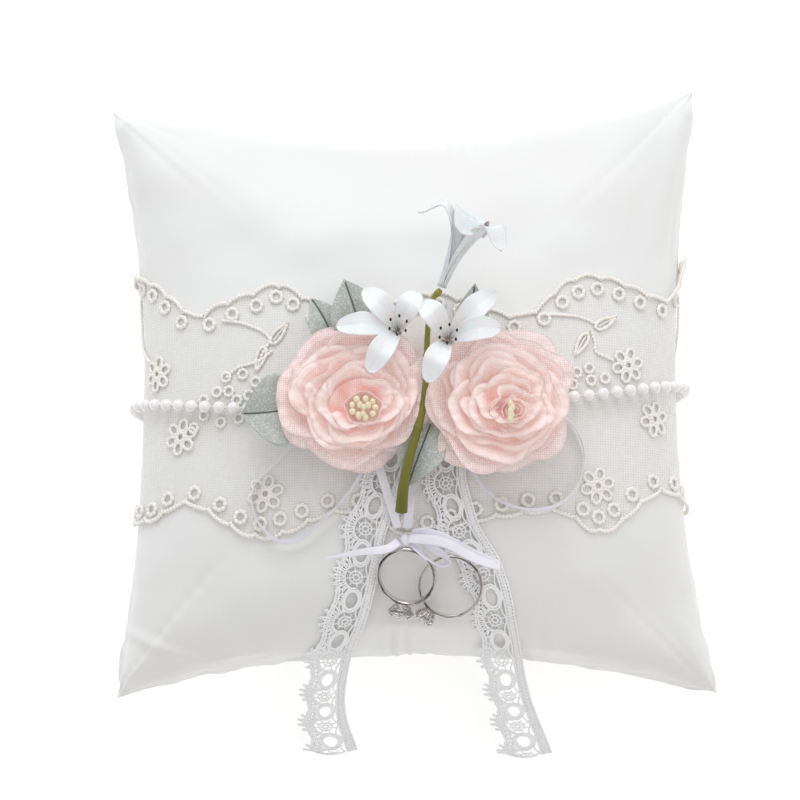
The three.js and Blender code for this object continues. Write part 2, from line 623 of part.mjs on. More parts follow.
// How far a ring must rise for its lower rim to clear the tails, wherever on the front it lies.
function riseFor(placed, { radius, width }) {
  placed.updateWorldMatrix(true, false);
  const rises = Array.from({ length: 28 }, (_, i) => {
    const turn = (2 * Math.PI * i) / 28;
    const rim = vec(radius * Math.cos(turn), radius * Math.sin(turn), -width / 2);
    rim.applyMatrix4(placed.matrixWorld);
    return onFront(rim.x, rim.y, GAP + TAIL_THICKNESS + RING_REST).z - rim.z;
  });
  return Math.max(...rises);
}
bed.add(solitaire, cluster);
bed.position.z += Math.max(riseFor(solitaire, SOLITAIRE), riseFor(cluster, CLUSTER));

// Bow: round-bodied loops leave the knot to the right, and a flat tail to the left. Points in the
// bed's own frame, where +Z is away from the pillow.
const BOW_THICKNESS = 2;
const BOW_SMALL = [
  [2.6, 0.3, -0.3], [4.6, 0.6, 3.4], [8.4, -1.2, 5.6], [12.4, -3.6, 5.8], [13.6, -6.2, 5.6],
  [11, -7, 5.6], [7.5, -4.9, 5.8], [4.4, -2.4, 5.4], [2, -0.6, 2.6],
];
const BOW_LARGE = [
  [2.5, 2.2, 0.6], [5, 3.2, 2.2], [9, 3.4, 5], [14, 1.6, 6], [20, -2, 5.8], [26, -5, 5.4], [29.4, -6.4, 6.8],
  [26, -5, 8.4], [20, -2.2, 8.8], [14, 1.4, 9], [9, 2.8, 8.8], [4.6, 2.4, 6.4], [1.2, 1.5, 3.2],
];
const BOW_TAIL = [[-2.4, -0.4, 0.8], [-6, -2.2, 2.6], [-14, -3.6, 1.8], [-26, -6.3, 0.4]];
const bowLine = (points) => points.map((p) => vec(...p));
const bowLoop = (points) => ribbon(bowLine(points), BOW_THICKNESS, BOW_THICKNESS);

function bowTail() {
  const line = new THREE.CatmullRomCurve3(bowLine(BOW_TAIL));
  return strapSolid(Array.from({ length: 9 }, (_, i) => strapRow(line.getPointAt(i / 8),
    vec(0, 1, 0), lerp(RIBBON_WIDTH / 2, 0.3, i / 8))), RIBBON_THICKNESS / 2);
}

bed.add(
  part("bow_knot", new THREE.SphereGeometry(KNOT_RADIUS, 10, 6).rotateX(Math.PI / 2), COLOURS.ribbon),
  part("bow_loop_small", bowLoop(BOW_SMALL), COLOURS.ribbon),
  part("bow_loop_large", bowLoop(BOW_LARGE), COLOURS.ribbon),
  part("bow_tail", bowTail(), COLOURS.ribbon),
);
pillow.add(bed);

export default pillow;
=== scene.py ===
"""Looks of a ring bearer pillow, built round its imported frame.

A square satin cushion lies on its back with an embroidered net band round it, a string of pearls,
two tails of cluny lace, a spray of organza roses, satin lilies and glitter leaves, satin ribbon
loops, and two rings tied on with a bow. Shapes are worked out in millimetres in the frame of the
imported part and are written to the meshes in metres.
"""

from __future__ import annotations

import logging
import math
from dataclasses import dataclass, field
from enum import Enum
from typing import Callable, Iterable, Sequence

import bpy
import numpy as np
from mathutils import Matrix, Vector


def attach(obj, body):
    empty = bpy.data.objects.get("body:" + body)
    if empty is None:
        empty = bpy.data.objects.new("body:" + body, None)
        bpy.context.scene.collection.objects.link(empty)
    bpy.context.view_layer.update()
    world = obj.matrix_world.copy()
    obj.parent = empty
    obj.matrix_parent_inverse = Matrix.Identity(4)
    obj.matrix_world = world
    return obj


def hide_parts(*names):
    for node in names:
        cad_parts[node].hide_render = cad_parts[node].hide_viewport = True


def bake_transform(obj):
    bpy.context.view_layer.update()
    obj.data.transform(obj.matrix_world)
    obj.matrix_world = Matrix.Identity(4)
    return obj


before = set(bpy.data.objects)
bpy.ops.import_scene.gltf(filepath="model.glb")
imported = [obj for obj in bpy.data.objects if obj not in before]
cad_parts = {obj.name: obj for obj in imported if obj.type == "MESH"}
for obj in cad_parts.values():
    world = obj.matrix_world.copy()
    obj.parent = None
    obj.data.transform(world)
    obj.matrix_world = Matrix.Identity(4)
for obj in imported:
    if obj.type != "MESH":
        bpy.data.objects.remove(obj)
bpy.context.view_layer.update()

LOG = logging.getLogger("ring_pillow")
MM = 0.001
ROOT = "root"
SEED = 20
EDGE_POINTS = 3200  # points along each edge of the band
SHORTEST_CORD = 30.0  # mm; laid measures only ribbons longer than this
NARROWEST_SHEET = 10.5  # mm, for either side of a flat sheet
SPECK = 0.34  # mm across a speck of glitter
LITTLE = 1e-9  # room for rounding in a comparison, and against division by nothing
Array = np.ndarray


# ---- Colours and nodes ----


def linear(hex_colour: str) -> tuple[float, float, float, float]:
    """Turns an sRGB hex colour to linear light.

    Args:
        hex_colour: Six hex digits.

    Returns:
        Linear red, green, blue and an alpha of 1.
    """
    parts = [int(hex_colour[i:i + 2], 16) / 255 for i in (0, 2, 4)]
    return (*[c / 12.92 if c <= 0.04045 else ((c + 0.055) / 1.055) ** 2.4 for c in parts], 1.0)


def add_node(tree: bpy.types.NodeTree, kind: str, inputs: dict | None = None,
             **settings) -> bpy.types.Node:
    """Adds one node with its settings, values and links.

    Args:
        tree: The node tree.
        kind: The node's type name.
        inputs: Socket name or index to a value, or to the output socket that feeds it.
        **settings: The node's own properties.

    Returns:
        The node.
    """
    node = tree.nodes.new(kind)
    for name, value in settings.items():
        setattr(node, name, value)
    for key, value in (inputs or {}).items():
        if isinstance(value, bpy.types.NodeSocket):
            tree.links.new(value, node.inputs[key])
        else:
            node.inputs[key].default_value = value
    return node


def reckon(tree: bpy.types.NodeTree, operation: str, first: bpy.types.NodeSocket | float,
           second: bpy.types.NodeSocket | float, clamp: bool = False) -> bpy.types.NodeSocket:
    """Adds one Math node. Returns its result."""
    return add_node(tree, "ShaderNodeMath", {0: first, 1: second}, operation=operation,
                    use_clamp=clamp).outputs[0]


class Pattern(Enum):
    """How a finish is woven or grained."""

    PLAIN = "plain"
    SATIN = "satin"
    MESH = "mesh"
    THREAD = "thread"
    GLITTER = "glitter"
    FELTED = "felted"


@dataclass(frozen=True)
class Finish:
    """One finish: a real material with its colours, its gloss and the scale of its weave.

    Attributes:
        name: The material's common name and how it was made.
        slot: The record's material slot.
        pale, deep: Hex colours that vary over the surface.
        roughness, metallic, sheen, coat, ior, transmission: Shader values.
        pattern: Weave or grain.
        pitch: Thread spacing or grain size in millimetres.
        relief: Height of the weave in millimetres.
        cover: Share of the surface that the threads of a sheer cloth cover.
        scatter: Subsurface weight, for light that passes through a petal.
        patch: Size in millimetres of the slow drift between the two colours.
        shade_attribute: A point attribute from 0 to 1 that takes the colour from pale to deep.
        glow: Emission of the pale colour; on the organza it is painted light that stands in for the light passing
            through thin cloth.
    """

    name: str
    slot: str
    pale: str
    deep: str
    roughness: float = 0.5
    metallic: float = 0.0
    sheen: float = 0.0
    coat: float = 0.0
    ior: float = 1.5
    transmission: float = 0.0
    pattern: Pattern = Pattern.PLAIN
    pitch: float = 0.7
    relief: float = 0.02
    cover: float = 1.0
    scatter: float = 0.0
    patch: float = 40.0
    shade_attribute: str = ""
    glow: float = 0.0

    def material(self) -> bpy.types.Material:
        """Returns the finish's material, made the first time it is asked for."""
        found = bpy.data.materials.get(self.name)
        return found or self._make()

    def _make(self) -> bpy.types.Material:
        """Builds the nodes: a drift of colour, a weave for the bump, and threads that cover a share."""
        material = bpy.data.materials.new(self.name)
        material.use_nodes = True
        tree = material.node_tree
        shader = next(n for n in tree.nodes if n.type == "BSDF_PRINCIPLED")
        where = add_node(tree, "ShaderNodeTexCoord").outputs["Object"]
        drift = add_node(tree, "ShaderNodeTexNoise", {"Vector": where, "Scale": 1 / (self.patch * MM),
                                                     "Detail": 3.0, "Roughness": 0.55})
        share = drift.outputs["Fac"]
        if self.shade_attribute:
            shade = add_node(tree, "ShaderNodeAttribute", attribute_name=self.shade_attribute)
            both = reckon(tree, "ADD", shade.outputs["Fac"], share)
            share = reckon(tree, "SUBTRACT", both, 0.5, True)
        colour = add_node(tree, "ShaderNodeMix", {"Factor": share, 6: linear(self.pale),
                                                  7: linear(self.deep)}, data_type="RGBA")
        tone = colour.outputs[2]
        height = self._weave(tree, where)
        if height is not None:
            bump = add_node(tree, "ShaderNodeBump", {"Height": height, "Strength": 1.0,
                                                     "Distance": self.relief * MM})
            tree.links.new(bump.outputs["Normal"], shader.inputs["Normal"])
        if self.pattern is Pattern.GLITTER:
            tone = self._glitter(tree, where, tone)
        tree.links.new(tone, shader.inputs["Base Color"])
        if self.cover < 1.0 and height is not None:
            low = max(0.0, 2 * self.cover - 1)
            high = min(1.0, 2 * self.cover)
            alpha = add_node(tree, "ShaderNodeMapRange",
                             {"Value": height, "To Min": low, "To Max": high})
            tree.links.new(alpha.outputs["Result"], shader.inputs["Alpha"])
        for socket, value in {
            "Roughness": self.roughness, "Metallic": self.metallic, "Sheen Weight": self.sheen,
            "Coat Weight": self.coat, "Coat Roughness": 0.08, "IOR": self.ior,
            "Transmission Weight": self.transmission, "Subsurface Weight": self.scatter,
            "Subsurface Scale": 0.003, "Emission Strength": self.glow,
        }.items():
            shader.inputs[socket].default_value = value
        shader.inputs["Sheen Roughness"].default_value = 0.4
        shader.inputs["Emission Color"].default_value = linear(self.pale)
        return material

    def _weave(self, tree: bpy.types.NodeTree,
               where: bpy.types.NodeSocket) -> bpy.types.NodeSocket | None:
        """Returns a height from 0 to 1 that repeats at the thread pitch, or None if it is plain."""
        if self.pattern is Pattern.PLAIN:
            return None
        per_metre = 1 / (self.pitch * MM)
        if self.pattern in (Pattern.FELTED, Pattern.GLITTER):
            return add_node(tree, "ShaderNodeTexNoise", {"Vector": where, "Scale": per_metre,
                                                         "Detail": 4.0}).outputs["Fac"]
        # A Wave texture repeats 20 times over 2 pi of its scale.
        scale = per_metre * math.pi / 10
        waves = [add_node(tree, "ShaderNodeTexWave", {"Vector": where, "Scale": scale, "Distortion": 0.6,
                                                      "Detail": 1.0, "Detail Scale": 2.0},
                          bands_direction=way).outputs["Fac"] for way in ("X", "Y")]
        operation = "MAXIMUM" if self.pattern is Pattern.MESH else "ADD"
        slub = add_node(tree, "ShaderNodeTexNoise",
                        {"Vector": where, "Scale": per_metre / 3, "Detail": 3.0})
        mixed = reckon(tree, "MULTIPLY", reckon(tree, operation, *waves), slub.outputs["Fac"])
        return reckon(tree, "MULTIPLY", mixed, 1.2, True)

    def _glitter(self, tree: bpy.types.NodeTree, where: bpy.types.NodeSocket,
                 tone: bpy.types.NodeSocket) -> bpy.types.NodeSocket:
        """Lifts scattered specks of the cloth towards white. Returns the new colour."""
        cells = add_node(tree, "ShaderNodeTexVoronoi", {"Vector": where, "Scale": 1 / (SPECK * MM)})
        tint = add_node(tree, "ShaderNodeSeparateColor", {"Color": cells.outputs["Color"]})
        amount = reckon(tree, "MULTIPLY", reckon(tree, "GREATER_THAN", tint.outputs["Red"], 0.72), 0.42)
        return add_node(tree, "ShaderNodeMix", {"Factor": amount, 6: tone, 7: linear("E9EEEE")},
                        data_type="RGBA").outputs[2]


# Polyester satin, woven: floats on the face give a soft broad gloss.
SATIN = Finish("ivory_satin_woven", "ivory_satin", "F2F4F3", "EAE8E4", 0.48, sheen=0.1,
               pattern=Pattern.SATIN, pitch=0.75, relief=0.014, patch=60)
# Nylon net: a sheer ground that only softens the satin under it.
NET = Finish("nylon_net_knitted", "embroidered_net", "F1EDE7", "E9E3DA", 0.7, pattern=Pattern.MESH,
             pitch=0.85, relief=0.0, cover=0.14)
# Rayon embroidery thread: raised, champagne, with a silky glint on each stitch.
EMBROIDERY = Finish("rayon_thread_embroidered", "embroidered_net", "FFFDF9", "F7F0E7", 0.34, sheen=0.3,
                    pattern=Pattern.THREAD, pitch=0.7, relief=0.07, patch=5)
# Imitation pearl: lacquered glass bead.
PEARL = Finish("pearl_lacquered_glass", "pearl", "FDFCFC", "F3EFEE", 0.2, coat=0.6, patch=1.6)
# Twisted beading thread between the pearls.
BEAD_THREAD = Finish("beading_thread_twisted", "pearl", "F4F0EA", "DCD4CB", 0.5, patch=2)
# Cotton thread of machine-made cluny lace: matt and slightly fluffy.
COTTON = Finish("cotton_thread_lace", "cluny_lace", "FFFFFF", "F6F5F7", 0.8, sheen=0.3,
                pattern=Pattern.THREAD, pitch=0.5, relief=0.05, patch=5)
# Polyester satin ribbon: narrow, with a cool white gloss.
RIBBON = Finish("satin_ribbon_woven", "satin_ribbon", "F7F6FB", "EAE8F2", 0.34, sheen=0.2,
                pattern=Pattern.SATIN, pitch=0.5, relief=0.02, patch=6)
# Needled felt backing.
FELT = Finish("felt_needled", "felt", "F2F0EB", "E6E2DA", 0.95, sheen=0.4, pattern=Pattern.FELTED,
              pitch=0.8, relief=0.2, patch=4)
# Blush organza: sheer crisp cloth, painted deeper coral towards each layer's root and in its creases as shade,
# with a faint emission painted for the light that passes through it.
ORGANZA = Finish("blush_organza_woven", "pink_organza", "FDEDE9", "F0B4A8", 0.7, sheen=0.4,
                 pattern=Pattern.MESH, pitch=0.6, relief=0.1, cover=0.82, patch=5, glow=0.12,
                 shade_attribute="depth")
# The outermost layers are single cloth, so what lies under them shows through; they carry the same painted shade
# and painted glow.
ORGANZA_SHEER = Finish("blush_organza_single_layer", "pink_organza", "FCEDEA", "F5CCC4", 0.7, sheen=0.4,
                       pattern=Pattern.MESH, pitch=0.6, relief=0.08, cover=0.6, patch=5, glow=0.1,
                       shade_attribute="depth")
# The rolled edge of each layer, painted paler: a painted highlight where the curled edge catches the light.
ORGANZA_RIM_HIGHLIGHT = Finish("blush_organza_rim_painted_highlight", "pink_organza", "FEF3F0", "F8DED8", 0.6, sheen=0.4,
                     pattern=Pattern.THREAD, pitch=0.6, relief=0.04, patch=6)
# Grey-green organza printed with glitter.
GLITTER_LEAF = Finish("glitter_organza_printed", "grey_green_organza", "CBCFC8", "9CA29B", 0.5,
                      sheen=0.2, pattern=Pattern.GLITTER, pitch=0.5, relief=0.08, patch=9, shade_attribute="depth")
# The leaf's printed rib: dull grey green.
LEAF_RIB = Finish("leaf_rib_dyed", "grey_green_organza", "6B7672", "505B58", 0.6, patch=5)
# Thin satin of the half-open lily: some of the cushion shows through it.
PETAL_SHEER = Finish("white_satin_single_layer", "white_satin", "FFFFFF", "EDEEEE", 0.5, sheen=0.2,
                     pattern=Pattern.MESH, pitch=0.6, relief=0.02, cover=0.88, scatter=0.2, patch=6)
# Stiffened satin of the open lilies.
PETAL = Finish("white_satin_stiffened", "white_satin", "FFFFFF", "F6F6F9", 0.55, sheen=0.2,
               pattern=Pattern.SATIN, pitch=0.6, relief=0.02, scatter=0.2, patch=8)
# Stamen tips dipped in black paste.
BLACK_TIP = Finish("black_paste_dipped", "black_stamen", "1B1918", "2B2725", 0.45, patch=1)
# Stiff white thread of the stamens.
FILAMENT = Finish("white_filament_thread", "white_satin", "F4F2EE", "E5E1D8", 0.6, patch=2)
# Pearled cream paste of the roses' pips.
CREAM_PIP = Finish("cream_paste_pearled", "cream_stamen", "FBF3DC", "EAD9AC", 0.35, coat=0.4, patch=2.5)
# Plastic stem: olive, darker towards the cut end.
STEM = Finish("olive_plastic_moulded", "stem_tape", "98913F", "6B6B20", 0.5, patch=12,
              shade_attribute="depth")
# Polished silver, plated white.
SILVER = Finish("silver_polished", "polished_silver", "EDEAE8", "DFD7D2", 0.07, metallic=1.0, patch=3)
# Cut crystal with a high index.
CRYSTAL = Finish("crystal_cut_polished", "crystal", "FFFFFF", "F4F8FB", 0.02, ior=1.9, transmission=1.0,
                 patch=3)
# Matt paper that the object stands on.
PAPER = Finish("paper_sweep_matt", "", "FFFFFF", "FCFCFC", 0.9, patch=400, glow=0.3)


# ---- Curves and meshes ----


def unit(vectors: Array) -> Array:
    """Returns the vectors at unit length."""
    return vectors / np.maximum(np.linalg.norm(vectors, axis=-1, keepdims=True), 1e-12)


def circle(count: int) -> Array:
    """Returns evenly spaced angles once round."""
    return 2 * np.pi * np.arange(count) / count


def upright(line: Array) -> Array:
    """Returns the upward direction for each point of a line."""
    return np.zeros_like(line) + (0.0, 0.0, 1.0)


def ease(share: Array) -> Array:
    """Returns a smooth step from 0 to 1 of a share that is held between 0 and 1."""
    held = np.clip(share, 0, 1)
    return held * held * (3 - 2 * held)


def smooth_line(points: Sequence, count: int) -> Array:
    """Passes a smooth curve through points.

    Each span is a cubic whose end slopes are the slopes between its neighbours, measured along the
    chords. The result is evenly spaced along its length.

    Args:
        points: The points, in any number of dimensions.
        count: How many points to return.

    Returns:
        The points of the curve.
    """
    knots = np.asarray(points, float)
    chord = np.maximum(np.linalg.norm(np.diff(knots, axis=0), axis=1), LITTLE)
    along = np.concatenate([[0], np.cumsum(np.sqrt(chord))])
    slope = np.gradient(knots, along, axis=0)
    at = np.linspace(0, along[-1], 12 * len(knots) + count)
    i = np.clip(np.searchsorted(along, at, side="right") - 1, 0, len(knots) - 2)
    span = (along[i + 1] - along[i])[:, None]
    t = ((at - along[i]) / (along[i + 1] - along[i]))[:, None]
    curve = ((1 + 2 * t) * (1 - t) ** 2 * knots[i] + t * (1 - t) ** 2 * span * slope[i]
             + t * t * (3 - 2 * t) * knots[i + 1] + t * t * (t - 1) * span * slope[i + 1])
    return respaced(curve, count)


def respaced(curve: Array, count: int) -> Array:
    """Returns the curve with count points evenly spaced along it."""
    run = run_along(curve)
    at = np.linspace(0, run[-1], count)
    return np.stack([np.interp(at, run, curve[:, k]) for k in range(curve.shape[1])], axis=1)


def run_along(curve: Array) -> Array:
    """Returns the length along a curve at each of its points, from 0."""
    return np.concatenate([[0], np.cumsum(np.linalg.norm(np.diff(curve, axis=0), axis=1))])


def length_of(curve: Array) -> float:
    """Returns the length of a curve of points."""
    return float(run_along(curve)[-1])


def area_of(points: Array) -> float:
    """Returns the area of a grid of points: the cross products of its cells' sides, added up."""
    return float(np.linalg.norm(np.cross(np.diff(points[:, :-1], axis=0), np.diff(points[:-1], axis=1)),
                                axis=-1).sum())


@dataclass
class Shape:
    """A mesh in the making: points in millimetres, faces, and a shade from 0 to 1 at each point."""

    points: list[Array] = field(default_factory=list)
    shades: list[Array] = field(default_factory=list)
    faces: list[Array] = field(default_factory=list)
    count: int = 0

    def add(self, points: Array, faces: Iterable[Array], shade: Array | float = 0.5) -> None:
        """Adds points with their faces, each an array of point numbers with one face a row."""
        flat = points.reshape(-1, 3)
        self.points.append(flat)
        self.shades.append(np.broadcast_to(np.asarray(shade, float).reshape(-1), (len(flat),))
                           if np.size(shade) != 1 else np.full(len(flat), float(np.squeeze(shade))))
        self.faces.extend(f + self.count for f in faces if len(f))
        self.count += len(flat)

    def grid(self, points: Array, around: bool = False, shade: Array | float = 0.5) -> None:
        """Adds a grid of points as quads.

        Args:
            points: Rows by columns by 3.
            around: Whether the last column joins the first.
            shade: Shade at each point.
        """
        rows, columns = points.shape[:2]
        self.add(points, [grid_quads(rows, columns, around)], shade)

    def tube(self, line: Array, up: Array, wide: Array | float, tall: Array | float, sides: int = 6,
             closed: bool = False, shade: Array | float = 0.5) -> None:
        """Carries an ellipse along a line: its tall axis follows up and its wide axis crosses the line.

        Args:
            line: The points of the middle.
            up: The direction of the tall axis at each point.
            wide: Half width across, at each point or for all.
            tall: Half height along up.
            sides: Corners of the ellipse.
            closed: Whether the line closes on itself; if not, both ends are capped.
            shade: Shade at each point of the line.
        """
        count = len(line)
        ahead = (np.roll(line, -1, axis=0) - np.roll(line, 1, axis=0)) if closed else (
            np.gradient(line, axis=0))
        across = unit(np.cross(unit(ahead), up))
        raised = unit(np.cross(across, unit(ahead)))
        turn = circle(sides)
        wide, tall = (np.broadcast_to(np.asarray(size, float), (count,))[:, None, None]
                      for size in (wide, tall))
        rings = (line[:, None] + wide * np.cos(turn)[None, :, None] * across[:, None]
                 + tall * np.sin(turn)[None, :, None] * raised[:, None])
        faces = [grid_quads(count, sides, True, closed)]
        if not closed:
            first = np.arange(sides)
            fan = np.stack([np.zeros(sides - 2, int), first[1:-1], first[2:]], 1)
            faces += [fan, (count - 1) * sides + fan[:, ::-1]]
        shades = np.repeat(np.broadcast_to(np.asarray(shade, float), (count,)), sides)
        self.add(rings, faces, shades)

    def ball(self, centre: Array, radii: Array, rings: int = 8, sides: int = 12) -> None:
        """Adds an ellipsoid from its centre and three radii."""
        lift = np.pi * np.arange(1, rings) / rings
        turn = circle(sides)
        middle = np.stack([np.sin(lift)[:, None] * np.cos(turn), np.sin(lift)[:, None] * np.sin(turn),
                           np.broadcast_to(np.cos(lift)[:, None], (rings - 1, sides))], -1)
        points = np.concatenate([middle.reshape(-1, 3), [[0, 0, 1], [0, 0, -1]]]) * radii + centre
        ring = np.arange(sides)
        after = np.roll(ring, -1)
        top, low, last = (rings - 1) * sides, (rings - 1) * sides + 1, (rings - 2) * sides
        self.add(points, [grid_quads(rings - 1, sides, True),
                          np.stack([np.full(sides, top), ring, after], 1),
                          np.stack([np.full(sides, low), last + after, last + ring], 1)])

    def build(self, name: str, finish: Finish, body: str = ROOT, smooth: bool = True,
              wall: float = 0.0) -> bpy.types.Object:
        """Writes the mesh, dresses it and lets it ride on a body.

        Args:
            name: The piece's name.
            finish: Its finish.
            body: The CAD body that it rides on, or an empty name for none.
            smooth: Whether faces are shaded smooth.
            wall: Thickness in millimetres for an open sheet.

        Returns:
            The new object.
        """
        points = np.concatenate(self.points) * MM
        mesh = bpy.data.meshes.new(name)
        mesh.from_pydata(points.tolist(), [], [row for rows in self.faces for row in rows.tolist()])
        shade = mesh.attributes.new("depth", "FLOAT", "POINT")
        shade.data.foreach_set("value", np.concatenate(self.shades).astype(np.float32))
        mesh.polygons.foreach_set("use_smooth", [smooth] * len(mesh.polygons))
        mesh.validate()
        piece = bpy.data.objects.new(name, mesh)
        bpy.context.scene.collection.objects.link(piece)
        mesh.materials.append(finish.material())
        if wall:
            solid = piece.modifiers.new("wall", "SOLIDIFY")
            solid.thickness = wall * MM
            solid.offset = 0
        if body:
            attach(piece, body)
        LOG.info("%s: %d points, %s", name, len(points), finish.name)
        return piece


def grid_quads(rows: int, columns: int, around: bool = False, closed: bool = False) -> Array:
    """Returns the quads of a grid, point numbers row by row.

    Args:
        rows: Number of rows.
        columns: Number of columns.
        around: Whether the last column joins the first.
        closed: Whether the last row joins the first.
    """
    i = np.arange(rows if closed else rows - 1)[:, None]
    j = np.arange(columns if around else columns - 1)[None, :]
    after_i, after_j = (i + 1) % rows, (j + 1) % columns
    return np.stack([i * columns + j, after_i * columns + j, after_i * columns + after_j,
                     i * columns + after_j], -1).reshape(-1, 4)


# ---- The pillow's surface ----


@dataclass(frozen=True)
class PillowForm:
    """The cushion's outer surface, as in the CAD part, in millimetres.

    A point is u and v, each from -1 to 1, on the front or on the back. The sides pull in between the
    corners by a parabola. The front rises from the seam to the crown by a power of (1-u2)(1-v2), and
    the back falls the same way until the table stops it.
    """

    half: float = 100.0
    crown: float = 68.0
    seam: float = 30.0
    pull_x: float = 10.0
    pull_y: float = 12.0
    swell: float = 40.0
    puff: float = 0.45
    base: float = 0.8
    net_top: float = 0.8

    def at(self, u: Array, v: Array, front: Array | bool, stand: Array | float = 0.0) -> Array:
        """Returns the point at u, v, standing off the surface by stand."""
        x = u * (self.half + stand - self.pull_x * (1 - v * v))
        y = v * (self.half + stand - self.pull_y * (1 - u * u))
        rise = np.maximum(0, (1 - u * u) * (1 - v * v)) ** self.puff
        top = self.seam + (self.crown + stand - self.seam) * rise
        low = np.maximum(self.base - stand, self.seam - (self.swell + stand) * rise)
        return np.stack(np.broadcast_arrays(x, y, np.where(front, top, low)), -1)

    def height(self, x: Array, y: Array) -> Array:
        """Returns the front's height at x, y; u and v come from turning the outline's formula round."""
        x, y = np.broadcast_arrays(np.asarray(x, float), np.asarray(y, float))
        u, v = np.zeros_like(x), np.zeros_like(y)
        for _ in range(30):
            u = x / (self.half - self.pull_x * (1 - np.clip(v, -1, 1) ** 2))
            v = y / (self.half - self.pull_y * (1 - np.clip(u, -1, 1) ** 2))
        rise = (np.clip(1 - u * u, 0, 1) * np.clip(1 - v * v, 0, 1)) ** self.puff
        return self.seam + (self.crown - self.seam) * rise

    def on_front(self, x: Array, y: Array, lift: Array | float = 0.0) -> Array:
        """Returns the point at x, y that stands lift above the top of the net."""
        x, y = np.broadcast_arrays(np.asarray(x, float), np.asarray(y, float))
        return np.stack([x, y, self.height(x, y) + self.net_top + lift], -1)

    def normal(self, x: Array, y: Array) -> Array:
        """Returns the front's outward direction at x, y, from the slopes over 1 mm each way."""
        slope_x = (self.height(x + 1, y) - self.height(x - 1, y)) / 2
        slope_y = (self.height(x, y + 1) - self.height(x, y - 1)) / 2
        return unit(np.stack([-slope_x, -slope_y, np.ones_like(slope_x)], -1))

    def lifted(self, points: Sequence) -> Array:
        """Returns points given as x, y and height above the net, in the part's frame."""
        rows = np.asarray(points, float)
        return self.on_front(rows[:, 0], rows[:, 1], rows[:, 2])


FORM = PillowForm()


# ---- Casing ----


